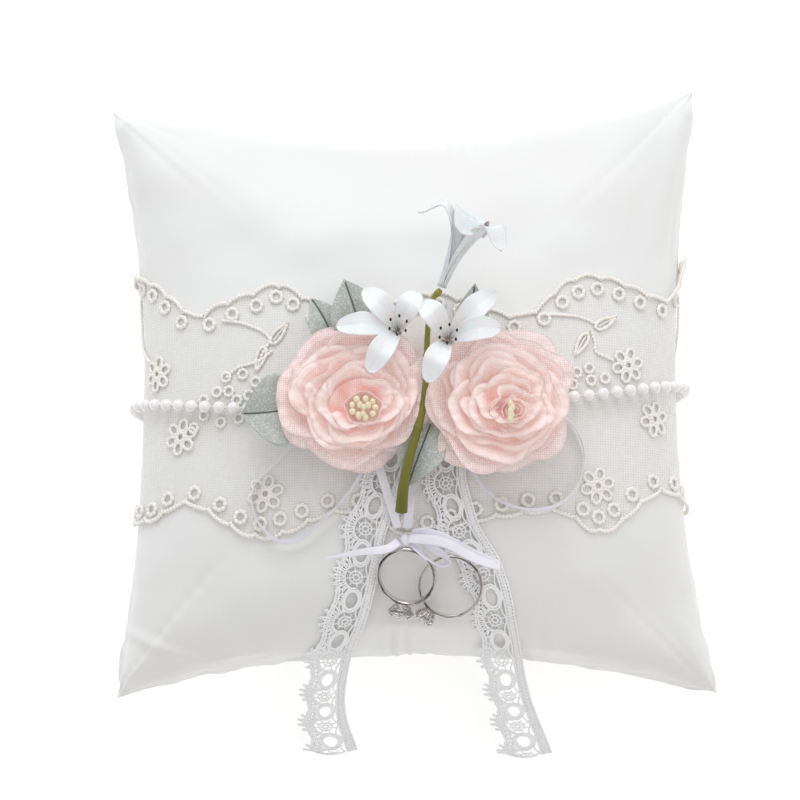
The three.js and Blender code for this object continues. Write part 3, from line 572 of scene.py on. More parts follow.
@dataclass(frozen=True)
class Casing:
    """The padded satin cushion: the form, blown up once by cloth simulation for its creases."""

    cells: int = 210
    quick_cells: int = 110
    corner_shift: tuple = ((-2.4, -1.5), (-2.6, 5.7), (2.2, -1.1), (2.7, -2.5))
    band_half: float = 44.0
    band_middle: float = -8.0
    cloth_cells: int = 60
    cloth_side: float = 0.214
    pressure: float = 7.0
    cloth_frames: int = 50
    pleats: tuple = ((13, 86, 4.6, 0.7), (-4, -88, 4.2, 0.7), (40, -86, 6, 0.35))
    gain: float = 0.45
    table_gap: float = 0.3
    deepest: float = 2.5
    smooth_degree: int = 9

    def build(self) -> bpy.types.Object:
        """Makes the closed cushion.

        Rows and columns are sines of even steps, so that points crowd at the seam, where the form
        is steep. Each point moves out by the creases, and the corners move by their own shifts with
        the weight u2 v2 shared between the corners.

        Returns:
            The cushion.
        """
        cells = self.cells
        step = np.sin(np.linspace(-1, 1, cells + 1) * np.pi / 2)
        u, v = np.meshgrid(step, step, indexing="ij")
        front, back = FORM.at(u, v, True), FORM.at(u, v, False)
        swell_front, swell_back = self._inflated(cells + 1)
        for side, swell in ((front, swell_front), (back, swell_back)):
            swell *= 1 - 0.95 * self._under(side[..., 1:2], 16)
        front = front + self._creases(u, v, front, True)[..., None] * self._out(front) + swell_front
        back = back - self._creases(u, v, back, False)[..., None] * self._out(back) + swell_back
        seam = (front + back) / 2
        edge = np.maximum(abs(u), abs(v)) > 1 - LITTLE
        front[edge] = back[edge] = seam[edge]
        weight = (u * v) ** 2
        for (dx, dy), right, top in zip(self.corner_shift, (0, 1, 1, 0), (1, 1, 0, 0)):
            part = weight * (u * right > 0 if right else u <= 0) * (v * top > 0 if top else v <= 0)
            for side in (front, back):
                side[..., 0] += part * dx
                side[..., 1] += part * dy
        back[..., 2] = np.maximum(back[..., 2], self.table_gap)
        numbers = np.arange(edge.size).reshape(edge.shape)
        low = numbers.copy()
        low[~edge] = edge.size + np.arange((~edge).sum())
        shape = Shape()
        quads = grid_quads(cells + 1, cells + 1)
        shape.add(np.concatenate([front.reshape(-1, 3), back[~edge]]),
                  [quads, low.reshape(-1)[quads[:, ::-1]]])
        piece = shape.build("cushion", SATIN)
        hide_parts("filling", "front_panel", "back_panel")
        return piece

    def _under(self, y: Array, past: float) -> Array:
        """Returns 1 under the band, falling to 0 at a distance past its half width."""
        return ease((self.band_half + past - abs(y - self.band_middle)) / 18)

    def _out(self, points: Array) -> Array:
        """Returns the upward-facing direction of a grid: the cross product of its two slopes."""
        return unit(np.cross(np.gradient(points, axis=0), np.gradient(points, axis=1)))

    def _creases(self, u: Array, v: Array, points: Array, front: bool) -> Array:
        """Returns how far each point stands out, in millimetres.

        Puckers at the seam are sums of cosines along the side that die away inwards. Folds fan out
        from each corner as cosines of the angle round it. The face rolls in slow waves. On the
        front, narrow pleats stand at the middle of the top and bottom sides, and one crease bends
        across the lower left corner.
        """
        rng = np.random.default_rng(SEED + front)
        x, y = points[..., 0], points[..., 1]
        total = np.zeros_like(x)
        for along, across in ((x, 1 - v), (x, 1 + v), (y, 1 - u), (y, 1 + u)):
            depth = np.arccos(np.clip(1 - across, -1, 1)) / (np.pi / 2) * 60
            for wave in rng.uniform(7, 26, 6):
                lean = rng.uniform(-0.25, 0.25)
                total += (0.008 * wave * np.exp(-depth / (wave * 0.75))
                          * np.cos(2 * np.pi * (along + lean * depth) / wave + rng.uniform(0, 6.3)))
        for side_x, side_y in ((-1, 1), (1, 1), (1, -1), (-1, -1)):
            dx, dy = side_x * 99 - x, side_y * 99 - y
            away = np.hypot(dx, dy)
            angle = np.arctan2(dy * side_y, dx * side_x)
            for _ in range(4):
                middle = np.pi / 4 + rng.uniform(-0.55, 0.55)
                reach = rng.uniform(22, 46)
                total += (rng.uniform(0.5, 1.1) * np.exp(-((angle - middle) * (away + 6) / 5) ** 2)
                          * np.exp(-(away / reach) ** 2) * ease(away / 8))
        for _ in range(14):
            wide, turn = rng.uniform(24, 60), rng.uniform(0, np.pi)
            total += 0.007 * wide * np.cos(2 * np.pi * (x * np.cos(turn) + y * np.sin(turn)) / wide
                                           + rng.uniform(0, 6.3)) * (1 - np.maximum(u ** 8, v ** 8))
        if front:
            for at_x, at_y, pitch, high in self.pleats:
                total += (high * np.cos(2 * np.pi * (x - at_x) / pitch)
                          * np.exp(-((x - at_x) / 9) ** 2 - ((y - at_y) / 9) ** 2))
            bend = 1.6 * (x + 86) ** 2 / 100
            total += 1.1 * np.exp(-((y + 84.5 + 0.45 * (x + 86) - bend * 0.3) / 1.8) ** 2
                                  - ((x + 86) / 11) ** 2)
        under = self._under(y, 15)
        return total * (1 - 0.7 * under) - np.maximum(0, 0.3 * total) * under

    def _inflated(self, rows: int) -> tuple[Array, Array]:
        """Blows up two square sheets sewn at the edge, and keeps only their creases.

        The smooth part of each sheet, a Chebyshev polynomial each way, is taken out, and
        what is left is passed to the finer grid by cubic weights.

        Args:
            rows: Points along a side of the cushion's grid.

        Returns:
            Shifts in millimetres for the front and the back.
        """
        n = self.cloth_cells + 1
        flat = np.linspace(-1, 1, n) * self.cloth_side / 2
        grid_x, grid_y = np.meshgrid(flat, flat, indexing="ij")
        edge = np.maximum(abs(grid_x), abs(grid_y)) >= self.cloth_side / 2 - LITTLE
        top = np.stack([grid_x, grid_y, np.where(edge, 0, 0.002)], -1)
        low = top * (1, 1, -1)
        index = np.arange(n * n)
        below = index.copy()
        inner = ~edge.reshape(-1)
        below[inner] = n * n + np.arange(inner.sum())
        quads = grid_quads(n, n)
        mesh = bpy.data.meshes.new("blown_sheets")
        mesh.from_pydata(np.concatenate([top.reshape(-1, 3), low.reshape(-1, 3)[inner]]).tolist(), [],
                         np.concatenate([quads, below[quads[:, ::-1]]]).tolist())
        sheets = bpy.data.objects.new("blown_sheets", mesh)
        bpy.context.scene.collection.objects.link(sheets)
        cloth = sheets.modifiers.new("Cloth", "CLOTH")
        for name, value in {"quality": 8, "mass": 0.15, "tension_stiffness": 60.0,
                            "compression_stiffness": 60.0, "shear_stiffness": 20.0,
                            "bending_stiffness": 0.05, "tension_damping": 10.0,
                            "compression_damping": 10.0, "shear_damping": 10.0,
                            "use_pressure": True, "uniform_pressure_force": self.pressure}.items():
            setattr(cloth.settings, name, value)
        cloth.settings.effector_weights.gravity = 0
        cloth.collision_settings.use_collision = False
        cloth.collision_settings.use_self_collision = False
        cloth.point_cache.frame_start = 1
        cloth.point_cache.frame_end = self.cloth_frames + 1
        for number in range(1, self.cloth_frames + 1):
            bpy.context.scene.frame_set(number)
        blown = sheets.evaluated_get(bpy.context.evaluated_depsgraph_get()).to_mesh()
        points = np.empty(len(blown.vertices) * 3)
        blown.vertices.foreach_get("co", points)
        points = points.reshape(-1, 3) / MM
        bpy.data.objects.remove(sheets)
        bpy.context.scene.frame_set(1)
        even = np.linspace(-1, 1, n)
        basis = np.polynomial.chebyshev.chebvander(even, self.smooth_degree)
        smooth = basis @ np.linalg.pinv(basis)
        at = (np.linspace(-1, 1, rows) + 1) / 2 * (n - 1)
        cubic = cubic_weight(at[:, None] - np.arange(n)[None])
        cubic /= cubic.sum(1, keepdims=True)
        result = []
        for sheet in (points[:n * n], points[below]):
            field = sheet.reshape(n, n, 3)
            rough = field - np.einsum("ij,jkc,lk->ilc", smooth, field, smooth)
            fine = np.einsum("ij,jkc,lk->ilc", cubic, rough, cubic)
            result.append(np.clip(self.gain * fine, -self.deepest, self.deepest))
        LOG.info("creases from the blown sheets: up to %.2f mm", max(abs(r).max() for r in result))
        return result[0], result[1]


def cubic_weight(distance: Array) -> Array:
    """Returns the weight of a point at a distance in steps, for cubic interpolation through points."""
    d = abs(distance)
    near = 1.5 * d ** 3 - 2.5 * d ** 2 + 1
    far = -0.5 * d ** 3 + 2.5 * d ** 2 - 4 * d + 2
    return np.where(d < 1, near, np.where(d < 2, far, 0))


# ---- Net band with its embroidery, and the pearls ----


@dataclass(frozen=True)
class Wrap:
    """Places things on the path round the cushion, over the front and under the back.

    A place is s and y. u is the sine of a quarter turn times s: s runs from -1 to 1 on the front and
    from 1 to 3 on the back, and 4 is once round.
    """

    stand: float = 0.55

    def at(self, s: Array, y: Array, lift: Array | float = 0.0) -> Array:
        """Returns the point at s, y that stands lift above the net."""
        s, y = np.broadcast_arrays(np.asarray(s, float), np.asarray(y, float))
        u = np.sin(np.pi / 2 * s)
        high = self.stand + np.asarray(lift, float)
        v = y / (FORM.half + high - FORM.pull_y * (1 - u * u))
        return FORM.at(u, v, np.cos(np.pi / 2 * s) >= 0, high)

    def out(self, s: Array, y: Array) -> Array:
        """Returns the outward direction at s, y: the cross product of the two slopes."""
        along = self.at(s + 0.004, y) - self.at(s - 0.004, y)
        across = self.at(s, y + 0.5) - self.at(s, y - 0.5)
        return unit(np.cross(along, across))

    def of(self, points: Sequence) -> Array:
        """Turns rows of x, y on the front to rows of s, y."""
        rows = np.asarray(points, float)
        x, y = rows[:, 0], rows[:, 1]
        u, v = np.zeros(len(rows)), np.zeros(len(rows))
        for _ in range(30):
            u = np.clip(x / (FORM.half - FORM.pull_x * (1 - v * v)), -1, 1)
            v = np.clip(y / (FORM.half - FORM.pull_y * (1 - u * u)), -1, 1)
        return np.stack([np.arcsin(u) * 2 / np.pi, y], 1)


WRAP = Wrap()


@dataclass(frozen=True)
class Motif:
    """One embroidered figure: its outline in millimetres on the front, and how it is drawn."""

    lines: tuple = ()
    rings: tuple = ()
    leaves: tuple = ()
    flowers: tuple = ()


LEFT_MOTIF = Motif(
    lines=(((-61.9, 19.7), (-56.2, 18.7), (-52.1, 17.1), (-48.8, 15.5), (-46.1, 12.7), (-46.8, 10),
            (-48.7, 6.8)),
           ((-92, 32.4), (-91.5, 22), (-89.5, 14), (-86.6, 8.7)),
           ((-60, 0.4), (-56, 3.5), (-50, 5.0), (-45, 8.5))),
    rings=((-54.7, 1.1), (-60.3, .4), (-50.3, -1.8), (-63.3, -4.4), (-59.3, -4.4), (-52.6, -6.1),
           (-67.7, -6.8), (-56.6, -7.5), (-67.6, -11.8), (-61.9, -14.5), (-71, -15.8), (-55.9, -13.5)),
    leaves=((-42.8, 14.3, 50), (-49, 5.8, -110)),
    flowers=((-83.9, 3.9), (-75.4, -18.4), (-47.1, -38.6)))
RIGHT_MOTIF = Motif(
    lines=(((41.3, 19.3), (46.6, 20.9), (52.7, 20.8), (56.7, 20.1), (60.7, 18.6)),
           ((59.3, 16.2), (60.6, 12.2), (61.2, 8.8), (63.9, 7.7), (66.6, 6.6))),
    rings=((54.4, 1.7), (51.1, 3.5), (58.5, 3.3), (53, -2.4), (59.1, -.7), (63.8, .3)),
    leaves=((64.4, 19.3, 30), (55.9, 11.2, -120)),
    flowers=((71.7, 5.3), (80.6, -11.8), (61.1, -35.5)))


@dataclass(frozen=True)
class Band:
    """The embroidered net: a sheer strip that goes once round, with corded scallops and eyelets."""

    upper: tuple = ((-99, 38), (-92, 40.5), (-85.5, 34.6), (-79, 28.4), (-70, 21.6), (-63.6, 24.6),
                    (-52.2, 28.2), (-44, 30.8), (-35, 26.4), (-20, 18), (7, 27), (34.4, 19.7),
                    (60.3, 34.7), (83.8, 29.1), (95.7, 47.1))
    lower: tuple = ((-94, -44), (-87.4, -45.1), (-74.2, -40.4), (-47.5, -52.5), (-21.3, -44.3), (2, -52),
                    (23.9, -46.8), (46.2, -43.8), (61.4, -50.2), (84.5, -35.5), (93.8, -39.1))
    scallop: float = 9.1
    bulge: float = 1.5
    eyelet_in: float = 4.0
    eyelet_radius: float = 1.85
    cord: float = 0.72
    thread: float = 0.58
    stitch: float = 1.25
    across: int = 48
    flare: float = 1.5
    split: float = -6.0

    def build(self) -> list[bpy.types.Object]:
        """Makes the net and its raised threads. Returns the pieces."""
        upper = self._edge(self.upper, 1, 33, 9)
        lower = self._edge(self.lower, -1, -45, 7)
        net = self._net(upper, lower)
        cords, eyelets = Shape(), Shape()
        for edge, side in ((upper, 1), (lower, -1)):
            self._corded(cords, edge, self.cord)
            self._eyelets(eyelets, edge, side)
        edging = cords.build("band_edge_cords", EMBROIDERY)
        holes = eyelets.build("band_eyelets", EMBROIDERY)
        figures = Shape()
        for motif in (LEFT_MOTIF, RIGHT_MOTIF):
            self._figure(figures, motif, 0)
            self._figure(figures, motif, 2)
        sewn = figures.build("band_embroidery", EMBROIDERY)
        return [net, edging, holes, sewn]

    def _edge(self, points: tuple, side: int, rest: float, swing: float) -> Array:
        """Works out one scalloped edge round the cushion.

        Large scallops pass through the given points on the front, and on the back they swing as a
        cosine. Small arcs, the size of a sine held positive, stand out along them.

        Args:
            points: x, y on the front.
            side: 1 for the upper edge and -1 for the lower.
            rest: Middle height of the back's scallops.
            swing: Half their height.

        Returns:
            Rows of s, y evenly spaced along the edge, closed.
        """
        front = WRAP.of(points)
        knots = np.arange(9)
        back = np.stack([np.linspace(1.22, 2.78, 9), rest + swing / 2 * np.cos(np.pi * knots)], 1)
        whole = np.concatenate([front, back, front[:3] + (4, 0)])
        line = smooth_line(whole, 3000)
        first = int(np.argmin(abs(line[:1500, 0] - front[1, 0])))
        last = int(np.argmin(abs(line[:, 0] - front[1, 0] - 4)))
        line = line[first:last + 1]
        for _ in range(2):
            run = run_along(WRAP.at(*line.T))
            at = np.linspace(0, run[-1], EDGE_POINTS + 1)
            line = np.stack([np.interp(at, run, line[:, k]) for k in (0, 1)], 1)
        count = round(run[-1] / self.scallop)
        arcs = np.sqrt(np.abs(np.sin(np.pi * count * np.linspace(0, 1, EDGE_POINTS + 1))))
        line[:, 1] += side * self.bulge * (arcs - 0.6)
        return line[:-1]

    def _lift(self, s: Array, share: Array) -> Array:
        """Returns how far the net stands away where its edges flare at the sides.

        Args:
            s: Place round the cushion.
            share: 0 at the lower edge to 1 at the upper edge.
        """
        near_left = np.exp(-((np.mod(s + 1 + 2, 4) - 2) / 0.16) ** 2)
        near_right = np.exp(-((np.mod(s - 1 + 2, 4) - 2) / 0.16) ** 2)
        top, low = ease((share - 0.72) / 0.28), ease((0.28 - share) / 0.28)
        return self.flare * (near_left * top + near_right * top + near_right * low * 0.9)

    def _net(self, upper: Array, lower: Array) -> bpy.types.Object:
        """Makes the net: rows follow s, and columns go evenly from the lower to the upper edge."""
        s = np.linspace(-1, 3, 721)[:-1]
        ends = []
        for edge in (lower, upper):
            order = np.argsort(np.mod(edge[:, 0] + 1, 4))
            ends.append(np.interp(s, np.mod(edge[order, 0] + 1, 4) - 1, edge[order, 1], period=4))
        share = np.linspace(0, 1, self.across + 1)
        y = ends[0][:, None] * (1 - share) + ends[1][:, None] * share
        lift = self._lift(s[:, None], share[None]) - 0.1
        points = WRAP.at(s[:, None] + 0 * y, y, lift)
        shape = Shape()
        shape.add(points, [grid_quads(len(s), self.across + 1, False, True)])
        net = shape.build("net_band_sheet", NET)
        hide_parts("net_band")
        middle = points[:, self.across // 2]
        length = float(np.linalg.norm(np.roll(middle, -1, 0) - middle, axis=1).sum())
        return net

    def _corded(self, shape: Shape, line: Array, radius: float, closed: bool = True,
                lift: float = 0.15) -> None:
        """Lays a stitched cord on the band: a tube whose size swells with each stitch.

        A closed cord is an edge of the band, so it flares with the net.
        """
        s, y = line.T
        flare = self._lift(s, np.where(y > self.split, 1, 0)) * closed
        points = WRAP.at(s, y, flare + lift)
        run = run_along(points)
        size = radius * (1 + 0.2 * np.cos(2 * np.pi * run / self.stitch))
        shape.tube(points, WRAP.out(s, y), size, size * 0.8, 6, closed)

    def _eyelets(self, shape: Shape, edge: Array, side: int) -> None:
        """Sews one eyelet inside each small arc of an edge."""
        points = WRAP.at(*edge.T)
        run = float(np.linalg.norm(np.roll(points, -1, 0) - points, axis=1).sum())
        count = round(run / self.scallop)
        for k in range(count):
            i = int((k + 0.5) / count * len(edge)) % len(edge)
            ahead, behind = edge[(i + 40) % len(edge)], edge[i - 40]
            flat = WRAP.at(np.array([ahead[0], behind[0]]), np.array([ahead[1], behind[1]]))
            slope = (ahead[1] - behind[1]) / max(np.linalg.norm(flat[0] - flat[1]), 1e-6)
            per_mm = self._s_per_mm(edge[i, 0], edge[i, 1])
            inwards = np.array([-slope * per_mm, (1 - slope ** 2) ** 0.5])
            centre = edge[i] - side * self.eyelet_in * inwards
            self.ring(shape, centre, self.eyelet_radius, self.cord)

    def _s_per_mm(self, s: float, y: float) -> float:
        """Returns how much s grows over one millimetre of the cushion."""
        ends = WRAP.at(np.array([s - 0.01, s + 0.01]), np.array([y, y]))
        return 0.02 / float(np.linalg.norm(ends[1] - ends[0]))

    def outline(self, centre: Sequence, local: Array) -> Array:
        """Places an outline in millimetres round a centre s, y. Returns rows of s, y."""
        per_mm = self._s_per_mm(centre[0], centre[1])
        return np.stack([centre[0] + local[:, 0] * per_mm, centre[1] + local[:, 1]], 1)

    def ring(self, shape: Shape, centre: Sequence, radius: float, thread: float) -> None:
        """Sews a round ring at s, y."""
        turn = circle(32)
        local = radius * np.stack([np.cos(turn), np.sin(turn)], 1)
        self._loop(shape, self.outline(centre, local), thread)

    def _loop(self, shape: Shape, line: Array, thread: float) -> None:
        """Sews a closed outline given as rows of s, y; every fourth point swells for a stitch."""
        size = thread * (1 + 0.22 * np.cos(np.pi / 2 * np.arange(len(line))))
        shape.tube(WRAP.at(*line.T, 0.15), WRAP.out(*line.T), size, size * 0.8, 6, True)

    def _figure(self, shape: Shape, motif: Motif, shift: float) -> None:
        """Sews one motif. A shift of 2 puts it on the back."""

        def place(points: Sequence) -> Array:
            return WRAP.of(points) + (shift, 0)

        for points in motif.lines:
            line = respaced(smooth_line(place(points), 260), 260)
            self._corded(shape, line, self.thread, False, 0.1)
        for centre in place(motif.rings) if motif.rings else ():
            self.ring(shape, centre, 1.5, self.thread)
        for x, y, turn in motif.leaves:
            angle = circle(40)
            local = np.stack([4.2 * np.cos(angle), 1.9 * np.sin(angle) * np.abs(np.sin(angle / 2))], 1)
            lean = math.radians(turn)
            local = local @ np.array([[math.cos(lean), math.sin(lean)],
                                      [-math.sin(lean), math.cos(lean)]])
            centre = place([(x, y)])[0]
            self._loop(shape, self.outline(centre, local), self.thread)
            rib = self.outline(centre, local[[0, 20]] * 0.8)
            rib = np.linspace(rib[0], rib[1], 12)
            shape.tube(WRAP.at(*rib.T, 0.12), WRAP.out(*rib.T), 0.3, 0.25, 6, False)
        for x, y in motif.flowers:
            centre = place([(x, y)])[0]
            self.ring(shape, centre, 1.5, self.cord)
            for petal in range(6):
                angle = circle(28)
                away = 3.9 + 1.9 * np.cos(angle)
                wide = 1.5 * np.sin(angle)
                lean = 2 * np.pi * petal / 6 + 0.3
                local = np.stack([away * math.cos(lean) - wide * math.sin(lean),
                                  away * math.sin(lean) + wide * math.cos(lean)], 1)
                self._loop(shape, self.outline(centre, local), self.thread)


@dataclass(frozen=True)
class Pearls:
    """The string of round beads across the middle, on a thread that ends on the back."""

    diameter: float = 4.1
    pitch: float = 5.1
    end: float = 1.366

    def build(self) -> list[bpy.types.Object]:
        """Makes the beads and the thread.

        The string follows y = -12.5 + 0.00124 (x + 15)2, and a bead sits at each pitch of its length.

        Returns:
            The beads and the thread.
        """
        s = np.linspace(-self.end, self.end, 1500)
        x = np.sin(np.pi / 2 * s) * 90
        y = -12.5 + 0.00124 * (x + 15) ** 2
        line = WRAP.at(s, y, 2.55)
        run = length_of(line)
        count = round(run / self.pitch)
        centres = respaced(line, count + 1)
        beads = Shape()
        for centre in centres:
            beads.ball(centre, np.full(3, self.diameter / 2), 12, 20)
        thread = Shape()
        strand = respaced(line, 500)
        thread.tube(strand, upright(strand), 0.4, 0.4, 8)
        string = beads.build("pearl_beads", PEARL)
        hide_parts("pearl_string")
        return [string, thread.build("pearl_thread", BEAD_THREAD)]


# ---- Lace tails ----


@dataclass(frozen=True)
class LaceTail:
    """One tail of cluny lace: it lies on the cushion, folds over the shoulder and hangs.

    Attributes:
        name: The piece's name.
        body: The CAD body of its hanging end; not used.
        lying: x, and the share of the way from the root to the fold.
        hanging: x, the reach past the fold, and the share of the fold's height.
        root_y, fold_y, fold_reach: Where it starts, where it folds, and how far before that it turns.
        half, repeat, thread: Half its width, the length of one repeat and half a thread.
        rest: Height above the net's top.
        header: Distances across of the lengthwise threads.
    """

    name: str
    body: str
    lying: tuple
    hanging: tuple
    root_y: float = -22.0
    fold_y: float = -80.0
    fold_reach: float = 14.0
    half: float = 7.5
    repeat: float = 16.5
    thread: float = 0.42
    rest: float = 0.6
    header: tuple = (4.7, 5.5, 6.3, 7.2)
    fingers: int = 8

    def build(self) -> bpy.types.Object:
        """Works the lace as threads on the strap's surface. Returns the tail."""
        line = self._middle()
        run = run_along(line)
        length = run[-1]
        shape = Shape()
        self._header(shape, line, run, length)
        for k in range(int(length / self.repeat) + 1):
            self._repeat(shape, line, run, (k + 0.35) * self.repeat, length)
        piece = shape.build(self.name, COTTON, body="")
        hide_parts(self.name.replace("_lace", ""), self.name.replace("_lace", "") + "_end")
        x = float(self.lying[-1][0])
        z = float(FORM.height(x, self.fold_y)) + 1
        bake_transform(piece)
        return piece

    def _middle(self) -> Array:
        """Returns the strap's middle: on the cushion to the fold, then down through the given points."""
        flat = smooth_line([(x, self.root_y + (self.fold_y - self.root_y) * share)
                            for x, share in self.lying], 60)
        on = FORM.on_front(flat[:, 0], flat[:, 1], self.rest)
        high = on[-1, 2]
        free = [(x, self.fold_y - past, high * share) for x, past, share in self.hanging]
        return smooth_line(np.concatenate([on[::6], [on[-1]], free]), 900)

    def at(self, line: Array, run: Array, t: Array, w: Array, lift: Array | float = 0.0) -> Array:
        """Returns points of the strap.

        Across the strap a point goes square to the middle on the cushion, and turns to the side
        direction as it nears the fold. On the cushion it keeps to the surface.

        Args:
            line: The strap's middle.
            run: Length along it at each point.
            t: Length along the strap.
            w: Distance across it.
            lift: Distance off it.
        """
        t, w = np.broadcast_arrays(np.asarray(t, float), np.asarray(w, float))
        centre = np.stack([np.interp(t, run, line[:, k]) for k in range(3)], -1)
        slope = np.gradient(line, run, axis=0)
        ahead = np.stack([np.interp(t, run, slope[:, k]) for k in range(2)], -1)
        square = unit(np.stack([-ahead[..., 1], ahead[..., 0]], -1))
        lies = ease((centre[..., 1] - self.fold_y) / self.fold_reach)[..., None]
        across = unit(square * lies + np.array([1.0, 0.0]) * (1 - lies))
        flare = 1 + 0.22 * ease((t - run[-1] + 30) / 30)
        plan = centre[..., :2] + across * (w * flare)[..., None]
        on = FORM.on_front(plan[..., 0], plan[..., 1], self.rest)[..., 2]
        shift = on - FORM.on_front(centre[..., 0], centre[..., 1], self.rest)[..., 2]
        z = centre[..., 2] + shift * ease((centre[..., 1] - self.fold_y) / 4 + 0.5)
        cup = 0.8 * ease((self.fold_y - centre[..., 1]) / 20) * np.cos(np.pi * w / self.half)
        y = plan[..., 1] - cup
        return np.stack([plan[..., 0], y, z + np.asarray(lift, float)], -1)

    def _sew(self, shape: Shape, line: Array, run: Array, path: Array, wide: float, tall: float,
             closed: bool = False, lift: float = 0.0) -> None:
        """Lays one thread along rows of t, w."""
        t, w = np.clip(path[:, 0], 0, run[-1]), path[:, 1]
        if np.ptp(t) < 0.3 and np.ptp(w) < 0.3:
            return
        points = self.at(line, run, t, w)
        along = self.at(line, run, t + 0.5, w) - self.at(line, run, t - 0.5, w)
        across = self.at(line, run, t, w + 0.5) - self.at(line, run, t, w - 0.5)
        up = unit(np.cross(across, along))
        up *= np.sign(up[:, 2:3] - up[:, 1:2] + LITTLE)
        shape.tube(points + up * lift, up, wide, tall, 5, closed)

    def _header(self, shape: Shape, line: Array, run: Array, length: float) -> None:
        """Weaves the straight edge: four lengthwise threads and one that zigzags over them."""
        t = np.linspace(0, length, 500)
        for w in self.header:
            self._sew(shape, line, run, np.stack([t, np.full(500, w)], 1), self.thread, 0.3)
        fine = np.linspace(0, length, int(length * 6))
        zig = 5.95 + 1.25 * (2 * np.abs(2 * np.mod(fine / 1.1, 1) - 1) - 1)
        self._sew(shape, line, run, np.stack([fine, zig], 1), 0.26, 0.25, lift=0.2)
        # A thick gimp runs down the fan side: it swings out past the fans and in beside the ovals.
        beat = 2 * np.pi * (t - 0.85 * self.repeat) / self.repeat
        for shift in (-0.45, 0.45):
            self._sew(shape, line, run, np.stack([t, -4.6 + shift - 0.7 * np.cos(beat)], 1), 0.42, 0.34)
        self._sew(shape, line, run, np.stack([t, 3.75 + 0.55 * np.cos(2 * beat)], 1), 0.3, 0.28)

    def _repeat(self, shape: Shape, line: Array, run: Array, start: float, length: float) -> None:
        """Works one repeat: an open oval with a ladder beside it, a spider, and a fan of fingers.

        The oval is an ellipse. The spider is two rings with eight spokes. Each finger is a long
        ellipse that points out from the spider's middle, with a round picot at its tip.
        """
        turn = circle(26)
        oval, spider = start, start + self.repeat / 2

        def path(t: Array, w: Array) -> Array:
            return np.stack([t, w], 1)

        if oval < length + 3:
            for grow, wide in ((1.0, 0.55), (1.26, 0.4)):
                self._sew(shape, line, run, path(oval + 3.5 * grow * np.cos(turn),
                                                 0.9 + 2.3 * grow * np.sin(turn)), wide, 0.36, True)
            for rung in np.linspace(-4.4, 4.4, 7):
                out = np.linspace(-1.6 - 0.05 * rung * rung, -4.2, 6)
                self._sew(shape, line, run, path(oval + rung + 0 * out, out), 0.2, 0.22)
        if spider > length + 2:
            return
        for grow in (0.9, 2.1):
            self._sew(shape, line, run, path(spider + grow * np.cos(turn), 0.6 + grow * np.sin(turn)),
                      0.3, 0.3, True)
        for spoke in range(8):
            lean = math.pi * spoke / 4 + 0.3
            out = np.linspace(0.8, 3.4, 8)
            self._sew(shape, line, run, path(spider + out * math.cos(lean), 0.6 + out * math.sin(lean)),
                      0.22, 0.22)
        for lean in np.linspace(-1.12, 1.12, self.fingers):
            reach, root = 7.7 - 1.0 * abs(lean), 3.7
            out = (reach + root) / 2 + (reach - root) / 2 * np.cos(turn)
            side = 0.6 * np.sin(turn) * (1 + 0.3 * np.cos(turn))
            self._sew(shape, line, run, path(
                spider + out * np.sin(lean) * 1.1 + side * np.cos(lean),
                0.5 - out * np.cos(lean) + side * np.sin(lean)), 0.33, 0.3, True, 0.1)
            tip = np.array([spider + (reach + 0.5) * np.sin(lean) * 1.1,
                            0.5 - (reach + 0.5) * np.cos(lean)])
            small = turn[::2]
            self._sew(shape, line, run, tip + 0.42 * np.stack([np.cos(small), np.sin(small)], 1),
                      0.24, 0.24, True)
        arc = np.linspace(-1.35, 1.35, 30)
        self._sew(shape, line, run, path(spider + 3.6 * np.sin(arc) * 1.15, 0.5 - 3.6 * np.cos(arc)),
                  0.42, 0.3)


TAILS = (
    LaceTail("lace_tail_left_lace", "tail_left",
             ((-5, 0), (-9.6, 0.236), (-15.1, 0.478), (-17.1, 0.652), (-19.4, 0.829), (-22.4, 1)),
             ((-26, 7.5, 0.859), (-28.5, 17, 0.667), (-29.4, 29.7, 0.283), (-27, 39, 0.008))),
    LaceTail("lace_tail_right_lace", "tail_right",
             ((10.6, 0), (10.8, 0.241), (12.6, 0.357), (16.1, 0.538), (22.4, 0.71), (26, 0.888),
              (27.4, 1)),
             ((29, 7.5, 0.855), (31, 17, 0.661), (35.8, 30.5, 0.265), (39.5, 40, 0.008))),
)


# ---- Ribbons and the bow ----


@dataclass(frozen=True)
class Ribbon:
    """A length of satin ribbon, 3 mm wide, that twists as it goes.

    Attributes:
        name: The piece's name; the CAD node without its ending.
        points: x, y and height above the net.
        twist: Degrees of turn about its own length, from the first point to the last; 0 lies flat.
    """

    name: str
    points: tuple
    twist: tuple
    width: float = 3.0
    wall: float = 0.3

    def build(self) -> bpy.types.Object:
        """Makes the strip. Returns the ribbon."""
        line = smooth_line(FORM.lifted(smooth_line(self.points, 60)), 260)
        flat_up = unit(FORM.normal(line[:, 0], line[:, 1]))
        piece = strip(self.name + "_satin", line, flat_up, self.twist, self.width, self.wall, ROOT)
        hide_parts(self.name)
        laid(line, self.width)
        return piece


def laid(line: Array, width: float) -> None:
    """Measures a ribbon that is long enough to count as a limp cord held at both ends; the length is not kept."""
    if length_of(line) > SHORTEST_CORD:
        length_of(line) * MM


